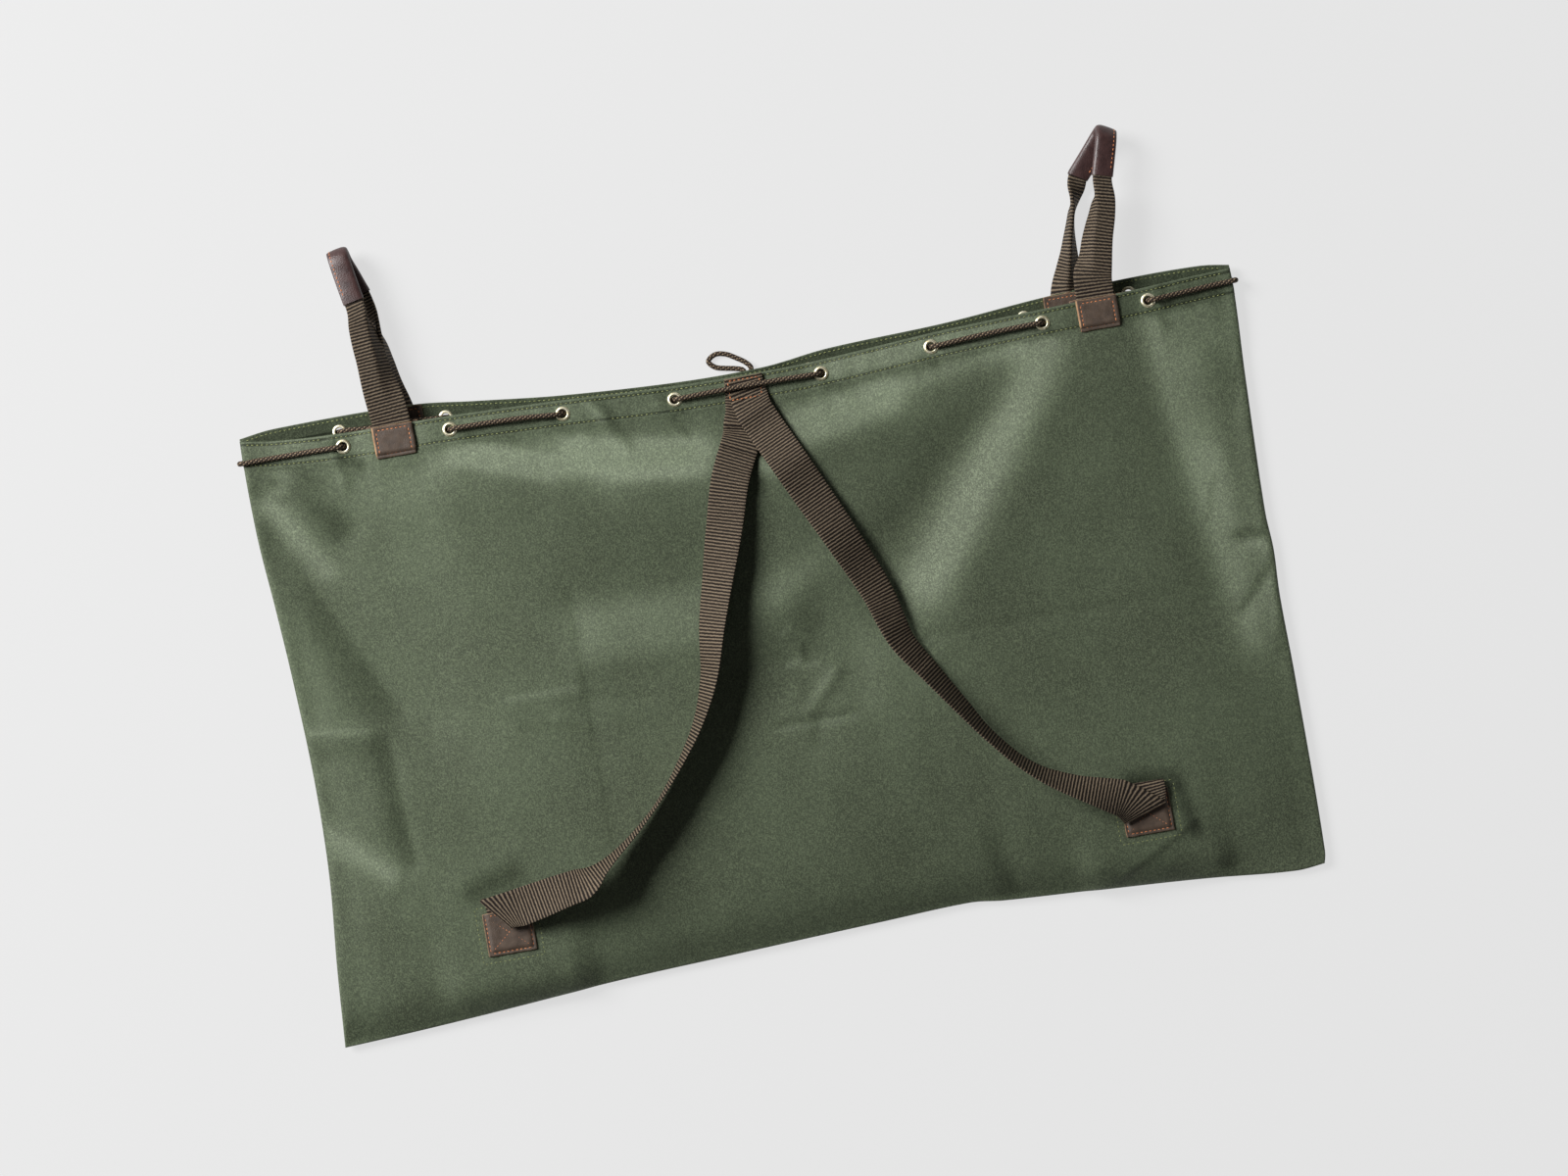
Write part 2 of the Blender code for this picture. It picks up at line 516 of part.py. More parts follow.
def handle_frames(side):
    """Stations of a handle loop: its middle line, its own axes, and its fold."""
    sign = -1 if side == "left" else 1
    rows = LEFT_HANDLE if side == "left" else RIGHT_HANDLE
    front_x = MOUTH_MIDDLE + sign * HANDLE_FRONT
    back_x = sign * HANDLE_BACK
    front_y, back_y = table(FRONT_RIM, front_x), table(BACK_RIM, back_x)
    front_z = front_top(front_x, front_y - 0.01) + GAP + WEB / 2
    back_z = back_bottom(back_x, back_y - 0.01) - GAP - WEB / 2
    start = [(front_x / MM, (front_y - d) / MM, front_z / MM, 0, 0) for d in (0.028, 0.012, -0.004)]
    end = [(back_x / MM, (back_y - d) / MM, back_z / MM, 0, 0) for d in (-0.004, 0.012, 0.028)]
    knots = start + list(rows) + end
    points = []
    for a, b in zip(knots, knots[1:]):
        points.append(a)
        if math.dist(a[:3], b[:3]) > 27:
            points.append(tuple((p + q) / 2 for p, q in zip(a, b)))
    points.append(knots[-1])
    places = [Vector(p[:3]) * MM for p in points]
    steps = [(b - a).normalized() for a, b in zip(places, places[1:])]
    tangents = [(a + b).normalized() for a, b in zip(steps[:1] + steps, steps + steps[-1:])]
    across = [Vector((1, 0, 0))]
    for k in range(1, len(places)):
        turn = tangents[k - 1].rotation_difference(tangents[k])
        carried = turn @ across[-1]
        across.append((carried - tangents[k] * carried.dot(tangents[k])).normalized())
    wanted = Vector((-1 if across[-1].x < 0 else 1, 0, 0))
    error = across[-1].angle(wanted)
    if across[-1].cross(wanted).dot(tangents[-1]) < 0:
        error = -error
    frames = []
    for k, point in enumerate(points):
        twist = math.radians(point[3]) * sign + error * smooth(k, 4, len(points) - 5)
        spin = Matrix.Rotation(twist, 3, tangents[k])
        side_way = spin @ across[k]
        frames.append((places[k], side_way, side_way.cross(tangents[k]), point[4]))
    return frames


def folded_web(frame):
    """Points and normals across the webbing at one station, folded in half round a narrow spine."""
    place, side_way, up, fold = frame
    angle = math.radians(88) * fold
    spine = 0.0016
    leg = WEB_WIDTH / 2 - spine
    middle = place - up * (leg / 2 * math.sin(angle))
    points, normals = [], []
    for sign in (-1, 1):
        lean = side_way * (sign * math.cos(angle)) + up * math.sin(angle)
        inner = middle + side_way * (sign * spine)
        outer = inner + lean * leg
        normal = up * math.cos(angle) - side_way * (sign * math.sin(angle))
        corner = (normal + up) / (1 + normal.dot(up))
        pair = [(outer, normal), (inner, corner)]
        for point, way in (pair if sign < 0 else pair[::-1]):
            points.append(point)
            normals.append(way)
    return {"points": points, "normals": normals}


def handle_webbing(side):
    sections = [ribbon_section(folded_web(frame), WEB) for frame in handle_frames(side)]
    loft("handle_webbing_" + side, sections, "webbing")


def handle_grip(side):
    """Leather wrapped round the top of the loop, open at both ends."""
    frames = [frame for frame in handle_frames(side) if frame[3] > 0.99]
    across, along = GRIP_SECTION[0] / 2, GRIP_SECTION[1] / 2
    bevel = GRIP_CORNER
    corners = ((across, along - bevel), (across - bevel, along), (bevel - across, along),
               (-across, along - bevel), (-across, bevel - along), (bevel - across, -along),
               (across - bevel, -along), (across, bevel - along))
    mesh = bmesh.new()
    rings = []
    for place, side_way, up, _fold in frames:
        rings.append([mesh.verts.new(place + side_way * a + up * b) for a, b in corners])
    for low, high in zip(rings, rings[1:]):
        for k in range(len(corners)):
            j = (k + 1) % len(corners)
            mesh.faces.new((low[k], low[j], high[j], high[k]))
    grip = finish(mesh, "handle_grip_" + side, "grip leather")
    wrap = grip.modifiers.new("leather", "SOLIDIFY")
    wrap.thickness = GRIP_WALL
    wrap.offset = 1
    wrap.use_even_offset = True


def patch(name, middle, size, ground, face, channel):
    """A leather patch on a level seat. face is +1 above the cloth and -1 under it, and channel
    is the half width that the patch passes over the webbing, with the webbing's end at -y."""
    cx, cy = middle
    half_x, half_y = size[0] / 2, size[1] / 2
    columns = [-half_x, -channel - 0.0022, -channel, channel, channel + 0.0022, half_x]
    rows = [-half_y, -half_y + 0.0035, -half_y + 0.0055, half_y]
    if not channel:
        columns, rows = [-half_x, half_x], [-half_y, half_y]

    def height(u, v):
        over = channel and abs(u) <= channel + 1e-6 and v > -half_y + 0.0045
        return GAP + (WEB + GAP if over else 0)

    sheet(name, columns, rows, lambda u, v: Vector((cx + u, cy + v, ground + face * height(u, v))),
          lambda u, v: face * LEATHER, "patch leather")


def handle_patches(side):
    sign = -1 if side == "left" else 1
    channel = WEB_WIDTH / 2 + GAP
    outer_x, outer_y = HANDLE_PATCH_SIZE
    x = MOUTH_MIDDLE + sign * HANDLE_FRONT
    y = table(FRONT_RIM, x)
    ground = front_top(x, y - 0.01)
    wide = (outer_x + 0.003, outer_y)
    patch("handle_patch_front_outer_" + side, (x, y - outer_y / 2), wide, ground, 1, channel)
    patch("handle_patch_front_inner_" + side, (x, y - INNER_PATCH_SIZE[1] / 2 + 0.0015),
          INNER_PATCH_SIZE, ground - HEM, -1, 0)
    x = sign * HANDLE_BACK
    y = table(BACK_RIM, x) - 0.002
    ground = back_bottom(x, y - 0.01)
    patch("handle_patch_back_outer_" + side, (x, y - outer_y / 2), wide, ground, -1, channel)
    patch("handle_patch_back_inner_" + side, (x, y - INNER_PATCH_SIZE[1] / 2),
          INNER_PATCH_SIZE, ground + HEM, 1, 0)


def cord_through(side, offset, goes_in, heading):
    """Points of the cord through one eyelet. It runs to the right along the front, and back."""
    x, y, z = eyelet_place(side, offset)
    out = 1 if side == "front" else -1
    middle = z - out * HEM / 2
    rise = HEM / 2 + CORD_CLEAR
    radius = rise / (1 - math.cos(CORD_STEEP))
    points = []
    for turn in (0.0, 0.55 * CORD_STEEP, CORD_STEEP):
        points.append((radius * (math.sin(CORD_STEEP) - math.sin(turn)),
                       radius * (math.cos(turn) - math.cos(CORD_STEEP))))
    way = 1 if goes_in else -1
    before = [(x - heading * run, y, middle + out * way * high) for run, high in points[:-1]]
    after = [(x + heading * run, y, middle - out * way * high) for run, high in points[:-1]]
    return before + [(x, y, middle)] + after[::-1]


def cord_route():
    """The whole drawcord from one side of the knot round the mouth to the other."""
    knot_x, knot_y, knot_z = (value * MM for value in KNOT)
    route = [(knot_x - 0.0095, knot_y - 0.001, knot_z), (knot_x - 0.022, knot_y - 0.002, knot_z - 0.0005)]
    before = "back"
    for side, number, goes_in in LACING:
        out = 1 if side == "front" else -1
        last, here = route[-1], eyelet_place(side, EYELETS[side][number])
        if before != side:
            route += edge_wrap(side)
        elif not goes_in:
            # inside the hem, deeper where it passes a handle's inner patch
            deep = HEM + (INSIDE_HANDLE if abs(last[0] + here[0]) > 0.6 else CORD_CLEAR)
            for share in (0.3, 0.7):
                x, y = last[0] + (here[0] - last[0]) * share, (last[1] + here[1]) / 2
                face = front_top(x, y) if side == "front" else back_bottom(x, y)
                route.append((x, y, face - out * deep))
        elif side == "front":
            # outside the front, and over both straps at the middle
            over_straps = strap_root("right")[2] + WEB / 2 + CORD / 2 + 0.0008
            for share in (0.34, 0.66):
                high = over_straps if number == 4 else max(last[2], here[2] + CORD_CLEAR)
                route.append((last[0] + (here[0] - last[0]) * share,
                              last[1] + (here[1] - last[1]) * share - 0.0015, high))
        route += cord_through(side, EYELETS[side][number], goes_in, out)
        before = side
    route += [(knot_x + 0.024, knot_y - 0.002, knot_z - 0.0005), (knot_x + 0.0095, knot_y - 0.001, knot_z)]
    return route


def edge_wrap(to_side):
    """The cord round the bag's edge: left from back to front, right from front to back."""
    sign = -1 if to_side == "front" else 1
    seam = table(LEFT_SEAM if sign < 0 else RIGHT_SEAM, 0.302)
    edge_y = 0.302 if sign < 0 else 0.311
    low, high = back_bottom(seam, edge_y), seam_top(seam, edge_y)
    slant = EDGE_STAND * math.sqrt(0.5)
    points = [
        (seam - sign * 0.052, edge_y + 0.011, 0.0029),
        (seam - sign * 0.016, edge_y + 0.003, 0.0030),
        (seam, edge_y + 0.001, low - EDGE_STAND),
        (seam + sign * slant, edge_y, low - slant),
        (seam + sign * EDGE_STAND, edge_y, low),
        (seam + sign * EDGE_STAND, edge_y, high),
        (seam + sign * slant, edge_y, high + slant),
        (seam, edge_y - 0.0005, high + EDGE_STAND),
    ]
    for inward, drop, lift in EDGE_RUN:
        x = seam - sign * inward * MM
        points.append((x, edge_y - drop * MM, front_top(x, edge_y - drop * MM) + lift * MM))
    return points if to_side == "front" else points[::-1]


def tube(name, points, material="braided cord"):
    data = bpy.data.curves.new(name, "CURVE")
    data.dimensions = "3D"
    run = data.splines.new("POLY")
    run.points.add(len(points) - 1)
    for point, place in zip(run.points, points):
        point.co = (*place, 1.0)
    data.bevel_depth = CORD / 2
    data.bevel_resolution = 1
    data.use_fill_caps = True
    data.materials.append(MATERIALS[material])
    thing = bpy.data.objects.new(name, data)
    bpy.context.collection.objects.link(thing)


def metres(rows):
    return [tuple(value * MM for value in row) for row in rows]


def drawcord():
    tube("drawcord", cord_route())
    knot = bmesh.new()
    bmesh.ops.create_uvsphere(knot, u_segments=10, v_segments=6, radius=1.0)
    bmesh.ops.scale(knot, vec=KNOT_RADIUS, verts=knot.verts[:])
    bmesh.ops.translate(knot, vec=[value * MM for value in KNOT], verts=knot.verts[:])
    finish(knot, "drawcord_knot", "braided cord")
    tube("drawcord_bow_loop", metres(BOW_LOOP))
    tube("drawcord_hidden_loop", metres(HIDDEN_LOOP))
    for name, rows in zip(("left", "right"), CORD_ENDS):
        tube("drawcord_end_" + name, metres(rows))


def principled(name, colour, roughness, metallic):
    material = bpy.data.materials.new(name)
    material.use_nodes = True
    shader = material.node_tree.nodes["Principled BSDF"]
    linear = []
    for k in (1, 3, 5):
        value = int(colour[k:k + 2], 16) / 255
        linear.append(value / 12.92 if value <= 0.04045 else ((value + 0.055) / 1.055) ** 2.4)
    shader.inputs["Base Color"].default_value = (*linear, 1)
    shader.inputs["Roughness"].default_value = roughness
    shader.inputs["Metallic"].default_value = metallic
    material.diffuse_color = (*linear, 1)
    return material


for leftover in list(bpy.data.objects):
    bpy.data.objects.remove(leftover, do_unlink=True)
MATERIALS = {name: principled(name, *values) for name, values in COLOURS.items()}

wall("front_panel", "front")
wall("back_panel", "back")
for number, offset in enumerate(FRONT_EYELETS, 1):
    eyelet(f"eyelet_front_{number}", "front", offset)
for number, offset in enumerate(BACK_EYELETS, 1):
    eyelet(f"eyelet_back_{number}", "back", offset)
for side in ("left", "right"):
    shoulder_strap(side)
    cx, cy = STRAP_PATCHES[side]
    patch("strap_patch_" + side, (cx, cy), STRAP_PATCH_SIZE, front_top(cx, cy), 1, WEB_WIDTH / 2 + GAP)
    handle_webbing(side)
    handle_grip(side)
    handle_patches(side)
drawcord()
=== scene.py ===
# Game bag lying flat on a pale floor: the looks of every piece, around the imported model
import math

import bmesh
import bpy
import numpy as np
from mathutils import Matrix, Vector, noise


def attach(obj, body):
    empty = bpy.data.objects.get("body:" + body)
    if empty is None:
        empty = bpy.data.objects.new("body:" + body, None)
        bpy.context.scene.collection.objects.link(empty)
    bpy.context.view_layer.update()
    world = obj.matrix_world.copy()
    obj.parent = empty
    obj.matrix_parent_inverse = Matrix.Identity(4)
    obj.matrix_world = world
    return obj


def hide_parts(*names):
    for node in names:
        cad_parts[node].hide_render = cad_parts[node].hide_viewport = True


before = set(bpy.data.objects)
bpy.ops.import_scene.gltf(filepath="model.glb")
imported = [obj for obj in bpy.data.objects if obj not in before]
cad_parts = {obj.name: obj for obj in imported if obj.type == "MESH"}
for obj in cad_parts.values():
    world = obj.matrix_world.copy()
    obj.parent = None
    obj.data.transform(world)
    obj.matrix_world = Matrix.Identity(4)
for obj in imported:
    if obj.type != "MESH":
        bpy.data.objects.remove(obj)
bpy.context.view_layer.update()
bpy.ops.object.select_all(action="DESELECT")
mm = 0.001
print("frame loaded")


# Colours and materials

def linear(hexColour):
    channels = [int(hexColour[k:k + 2], 16) / 255 for k in (1, 3, 5)]
    return (*[c / 12.92 if c <= 0.04045 else ((c + 0.055) / 1.055) ** 2.4 for c in channels], 1)


def grey(value):
    return (value, value, value, 1)


# a material and short ways to add its nodes: every socket is given a value or an output to link
class Shading:
    def __init__(self, name, roughness, metallic=0.0, **others):
        self.material = bpy.data.materials.new(name)
        self.material.use_nodes = True
        self.tree = self.material.node_tree
        self.shader = self.tree.nodes["Principled BSDF"]
        self.fill(self.shader, {"Roughness": roughness, "Metallic": metallic,
                                **{key.replace("_", " "): value for key, value in others.items()}})

    def fill(self, node, sockets):
        for name, value in sockets.items():
            if isinstance(value, bpy.types.NodeSocket):
                self.tree.links.new(value, node.inputs[name])
            else:
                node.inputs[name].default_value = value

    def add(self, kind, sockets, output, **settings):
        node = self.tree.nodes.new("ShaderNode" + kind)
        for name, value in settings.items():
            setattr(node, name, value)
        self.fill(node, sockets)
        return node.outputs[output]

    def place(self):
        return self.add("TexCoord", {}, "Object")

    def clothUv(self):
        return self.add("UVMap", {}, "UV", uv_map="cloth")

    def apart(self, vector, axis):
        return self.add("SeparateXYZ", {"Vector": vector}, axis)

    def noise(self, vector, scale, detail, roughness=0.5, flat=False, output="Fac"):
        return self.add("TexNoise", {"Vector": vector, "Scale": scale, "Detail": detail, "Roughness": roughness},
                        output, noise_dimensions="2D" if flat else "3D")

    def math(self, operation, *values):
        return self.add("Math", dict(enumerate(values)), 0, operation=operation)

    def vector(self, operation, *values):
        return self.add("VectorMath", dict(enumerate(values)), "Vector", operation=operation)

    def mix(self, share, first, second, blend="MIX"):
        return self.add("Mix", {0: share, 6: first, 7: second}, 2, data_type="RGBA", blend_type=blend)

    def ramp(self, fac, *stops):
        node = self.tree.nodes.new("ShaderNodeValToRGB")
        marks = node.color_ramp.elements
        while len(marks) < len(stops):
            marks.new(0.5)
        for mark, (at, colour) in zip(marks, stops):
            mark.position = at
            mark.color = linear(colour) if isinstance(colour, str) else grey(colour)
        self.fill(node, {"Fac": fac})
        return node.outputs["Color"]

    def remap(self, value, toMin, toMax, fromMin=0.0, fromMax=1.0):
        return self.add("MapRange", {"Value": value, "From Min": fromMin, "From Max": fromMax,
                                     "To Min": toMin, "To Max": toMax}, "Result")

    def bump(self, height, strength, distance, **under):
        return self.add("Bump", {"Height": height, "Strength": strength, "Distance": distance, **under}, "Normal")

    def finish(self, **sockets):
        self.fill(self.shader, {key.replace("_", " "): value for key, value in sockets.items()})
        return self.material


stitchDowns = (4.0, 26.2)    # rows of stitches along the hem, mm under the rim


# Polyester cloth in a plain weave, coated on the inside: a satin face whose slubbed threads show
# as short lighter flecks. The weave is 0.5 mm and is drawn as 0.9 mm flecks so that it shows.
def coatedPolyester():
    cloth = {"dark": "#393f32", "middle": "#404738", "light": "#47503f", "fleck": "#727d62",
             "fleckLong": 1.5, "fleckHigh": 0.9, "fleckShare": 0.42, "toneSize": 140, "toneShare": 0.6,
             "grainShare": 0.16, "waverSize": 9, "waver": 0.003, "roughness": 0.53, "dull": 0.05, "shine": -0.03,
             "seamShadeColour": "#12170e", "seamShadeStrength": 0.72, "seamFrom": 0.7, "seamTo": 1.9,
             "weave": 0.4, "crease": 1.2, "creaseSize": 26}
    made = Shading("coatedPolyesterWeave", cloth["roughness"], IOR=1.5, Specular_IOR_Level=0.34,
                   Specular_Tint=(0.86, 0.93, 0.75, 1))
    uv = made.clothUv()
    # each float of thread has its own brightness, the weft ones lying across and the warp ones upright
    floats = []
    for long, high in ((cloth["fleckLong"], cloth["fleckHigh"]), (cloth["fleckHigh"], cloth["fleckLong"])):
        waver = made.noise(uv, 1000 / cloth["waverSize"], 1.0, flat=True, output="Color")
        wavy = made.vector("MULTIPLY_ADD", waver, (cloth["waver"], cloth["waver"], 0), uv)
        cells = made.vector("SNAP", wavy, (long * mm, high * mm, 1))
        floats.append(made.add("TexWhiteNoise", {"Vector": cells}, "Value", noise_dimensions="3D"))
    across, upright = floats
    fleckMask = made.ramp(made.math("MULTIPLY", across, upright), (0.0, 0), (0.7, 1))
    tone = made.noise(uv, 1000 / cloth["toneSize"], 3.0, 0.55, flat=True)
    toned = made.ramp(tone, (0.3, cloth["dark"]), (0.7, cloth["light"]))
    base = made.mix(cloth["toneShare"], linear(cloth["middle"]), toned)
    grain = made.mix(cloth["grainShare"], base, upright, "OVERLAY")
    colour = made.mix(made.math("MULTIPLY", fleckMask, cloth["fleckShare"]), grain, linear(cloth["fleck"]))
    # painted shade: a dark line painted into the cloth's colour along each row of stitches, where the thread draws
    # the hem in
    down = made.apart(uv, "Y")
    for row in stitchDowns:
        far = made.math("ABSOLUTE", made.math("ADD", down, row * mm))
        near = made.remap(far, cloth["seamShadeStrength"], 0.0, cloth["seamFrom"] * mm, cloth["seamTo"] * mm)
        colour = made.mix(near, colour, linear(cloth["seamShadeColour"]))
    weave = made.bump(made.math("ADD", across, upright), 0.3, cloth["weave"] * mm)
    creases = made.noise(uv, 1000 / cloth["creaseSize"], 4.0, flat=True)
    shine = made.remap(fleckMask, cloth["roughness"] + cloth["dull"], cloth["roughness"] + cloth["shine"])
    return made.finish(Base_Color=colour, Roughness=shine,
                       Normal=made.bump(creases, 0.35, cloth["crease"] * mm, Normal=weave))


# Polypropylene webbing, woven in ribs across its width. The ribs are 2.9 mm apart and are drawn
# 3.6 mm apart so that they show. The stripes are painted light and shade: a painted highlight on the
# crowns and painted shade, near black, in the gaps between them.
def ribbedWebbing():
    web = {"gap": "#120d0a", "ribCrownHighlight": "#706352", "body": "#352c25", "rib": 3.6, "yarn": 1.4, "roughness": 0.68,
           "waverScale": 260, "waver": 1.7, "yarnShare": 0.16, "speckScale": 700, "speckShare": 0.45, "deep": 0.7}
    made = Shading("polypropyleneRibWebbing", web["roughness"], Specular_IOR_Level=0.14)
    uv = made.clothUv()
    turn = made.math("MULTIPLY", made.apart(uv, "X"), 2 * math.pi * 1000 / web["rib"])
    yarnTurn = made.math("MULTIPLY", made.apart(uv, "Y"), 2 * math.pi * 1000 / web["yarn"])
    phase = made.math("MULTIPLY_ADD", made.noise(uv, web["waverScale"], 2.0, flat=True), web["waver"], turn)
    rib = made.math("MULTIPLY_ADD", made.math("SINE", phase), 0.5, 0.5)
    yarn = made.math("SINE", made.math("MULTIPLY_ADD", turn, 0.5, yarnTurn))
    height = made.math("MULTIPLY_ADD", yarn, web["yarnShare"], rib)
    # painted light and shade: the colour runs from near black in the gaps to a light crown on each rib
    ribs = made.ramp(height, (0.12, web["gap"]), (0.5, web["body"]), (0.95, web["ribCrownHighlight"]))
    specks = made.noise(uv, web["speckScale"], 2.0, flat=True)
    return made.finish(Base_Color=made.mix(web["speckShare"], ribs, specks, "OVERLAY"),
                       Normal=made.bump(height, 0.9, web["deep"] * mm))


# Vegetable-tanned cowhide, cut and pressed: fine grain 1.5 mm wide, lighter where it rubs
def grainLeather(name, dark, light, roughness, grainSize=1.6, deep=0.3, coat=0.0):
    made = Shading(name, roughness, IOR=1.5, Coat_Weight=coat, Coat_Roughness=0.3)
    place = made.place()
    grain = made.add("TexVoronoi", {"Vector": place, "Scale": 1000 / grainSize}, "Distance",
                     feature="DISTANCE_TO_EDGE")
    cloudy = made.noise(place, 110.0, 5.0, 0.6)
    return made.finish(Base_Color=made.ramp(cloudy, (0.3, dark), (0.72, light)),
                       Roughness=made.remap(cloudy, roughness - 0.07, roughness + 0.09),
                       Normal=made.bump(made.math("MULTIPLY_ADD", grain, 1.6, cloudy), 0.6, deep * mm))


# Spun polyester sewing thread, 0.6 mm, with its twist as a fine slanted ripple. The stitches are
# drawn 1 mm thick and a little longer than real so that they show.
def sewingThread(name, dark, light):
    made = Shading(name, 0.6)
    twist = made.noise(made.place(), 900.0, 1.0)
    return made.finish(Base_Color=made.ramp(twist, (0.35, dark), (0.65, light)),
                       Normal=made.bump(twist, 0.5, 0.2 * mm))


# Rolled brass, lacquered and a little tarnished: pale, with soft dull clouds
def lacqueredBrass():
    made = Shading("rolledLacqueredBrass", 0.45, 1.0)
    clouds = made.noise(made.place(), 320.0, 4.0)
    return made.finish(Base_Color=made.ramp(clouds, (0.35, "#c2b992"), (0.6, "#f0ebd2")),
                       Roughness=made.remap(clouds, 0.56, 0.4))


# Braided polyester cord: 16 strands in two opposed spirals, drawn as a diamond relief with a
# paler strand in one spiral, and 5.5 mm apart where the real ones are 3, so that they show
def braidedCordCover():
    braid = {"gap": "#080504", "strand": "#2f241c", "pale": "#9a866c", "turn": 22.0, "strands": 4, "deep": 0.6}
    made = Shading("braidedPolyesterCord", 0.75, Specular_IOR_Level=0.25)
    uv = made.clothUv()
    perTurn = 2 * math.pi * braid["strands"]
    along = made.math("MULTIPLY", made.apart(uv, "X"), perTurn * 1000 / braid["turn"])
    around = made.apart(uv, "Y")
    first, second = (made.math("SINE", made.math("MULTIPLY_ADD", around, way * perTurn, along)) for way in (1, -1))
    height = made.math("MULTIPLY_ADD", made.math("MULTIPLY", first, second), 0.5, 0.5)
    # painted shade: the colour falls to near black in the gaps between the strands
    body = made.ramp(height, (0.15, braid["gap"]), (0.6, braid["strand"]))
    pale = made.math("MULTIPLY", made.remap(first, 0.0, 0.9, 0.1, 0.8), height)
    return made.finish(Base_Color=made.mix(pale, body, linear(braid["pale"])),
                       Normal=made.bump(height, 0.9, braid["deep"] * mm))


clothMaterial = coatedPolyester()
webbingMaterial = ribbedWebbing()
patchMaterial = grainLeather("pressedCowhidePatch", "#35291f", "#4d3d30", 0.56)
rawEdgeMaterial = grainLeather("cowhideCutEdge", "#7d5c40", "#a98460", 0.75, 0.8, 0.4)
gripMaterial = grainLeather("smoothCowhideGrip", "#2e1d1c", "#442d2b", 0.44, 2.2, 0.3, 0.06)
hemThread = sewingThread("greenSewingThread", "#5f6639", "#8a905c")
leatherThread = sewingThread("tanSewingThread", "#a05a34", "#cc8453")
brassMaterial = lacqueredBrass()
cordMaterial = braidedCordCover()
print("materials made")


# Curves and rows of points that every piece is drawn with

# a smooth curve through a table's rows, both in millimetres, read in metres
def curveThrough(rows, at):
    xs, ys = (np.array([row[n] for row in rows], float) * mm for n in (0, 1))
    at = np.asarray(at, float)
    k = np.clip(np.searchsorted(xs, at, side="right") - 1, 0, len(xs) - 2)
    before, after = np.maximum(k - 1, 0), np.minimum(k + 2, len(xs) - 1)
    span = xs[k + 1] - xs[k]
    t = np.clip((at - xs[k]) / span, 0, 1)
    m0 = (ys[k + 1] - ys[before]) / (xs[k + 1] - xs[before]) * span
    m1 = (ys[after] - ys[k]) / (xs[after] - xs[k]) * span
    return hermite(t, ys[k], m0, ys[k + 1], m1)


def hermite(t, start, startSlope, end, endSlope):
    return ((2 * t ** 3 - 3 * t ** 2 + 1) * start + (t ** 3 - 2 * t ** 2 + t) * startSlope
            + (3 * t ** 2 - 2 * t ** 3) * end + (t ** 3 - t ** 2) * endSlope)


def smoothStep(value, low, high):
    t = np.clip((value - low) / (high - low), 0, 1)
    return t * t * (3 - 2 * t)


# the same between two distances in mm
def between(value, marks):
    return smoothStep(value, marks[0] * mm, marks[1] * mm)


# rows scaled to a length of one
def unit(rows):
    return rows / np.maximum(np.linalg.norm(rows, axis=1), 1e-9)[:, None]


# how far along a path each of its points lies
def runOf(path):
    return np.r_[0, np.cumsum(np.linalg.norm(np.diff(path, axis=0), axis=1))]


# every column of the rows, read at these distances along their run
def readAt(rows, run, at):
    return np.stack([np.interp(at, run, column) for column in rows.T], -1)


# points through knots at even shares of each span, on a centripetal curve
def smoothThrough(knots, parts, measured=slice(None)):
    knots = np.asarray(knots, float)
    padded = np.concatenate([[2 * knots[0] - knots[1]], knots, [2 * knots[-1] - knots[-2]]])
    span = np.linalg.norm(np.diff(knots[:, measured], axis=0), axis=1)
    span = np.sqrt(np.maximum(np.r_[span[0], span, span[-1]], 1e-7))
    t = (np.arange(parts) / parts)[:, None]
    out = []
    for k in range(len(knots) - 1):
        p0, p1, p2, p3 = padded[k:k + 4]
        d0, d1, d2 = span[k:k + 3]
        m1 = ((p1 - p0) / d0 - (p2 - p0) / (d0 + d1) + (p2 - p1) / d1) * d1
        m2 = ((p2 - p1) / d1 - (p3 - p1) / (d1 + d2) + (p3 - p2) / d2) * d1
        out.append(hermite(t, p1, m1, p2, m2))
    return np.concatenate(out + [knots[-1:]])


def evenSteps(rows, count, measured):
    rows = np.asarray(rows, float)
    run = runOf(rows[:, :measured])
    return readAt(rows, run, np.linspace(0, run[-1], count))


# Heights of the walls

# outline of the flat bag: seams and rims, in millimetres from the middle of the bag
outline = {
    "leftSeam": ((-335, -539), (-250, -533), (-150, -524), (-50, -522), (60, -526), (140, -531),
                 (220, -537), (300, -538), (335, -537)),
    "rightSeam": ((-330, 529), (-310, 534), (-120, 535), (-30, 534), (20, 536), (60, 534),
                  (200, 538), (300, 542), (335, 541)),
    "bottomSeam": ((-540, -335), (-460, -331), (-370, -325), (-240, -315), (-110, -309), (50, -302),
                   (150, -298), (185, -302), (300, -309), (400, -316), (500, -325), (535, -322)),
    "frontRim": ((-540, 326), (-500, 320), (-430, 315), (-310, 313), (-200, 309), (-70, 303), (50, 302),
                 (120, 305), (215, 311), (330, 315), (440, 319), (500, 323), (545, 325)),
    "backRim": ((-540, 328), (-500, 333), (-350, 333), (-280, 325), (-190, 315), (-60, 307), (30, 307),
                (100, 315), (230, 320), (330, 328), (420, 333), (510, 333), (545, 328)),
}
# the mouth's height by distance from its middle
rimHeight = ((0, 27), (80, 28), (140, 31), (200, 34), (320, 37), (382, 35), (437, 29), (500, 17), (550, 10))
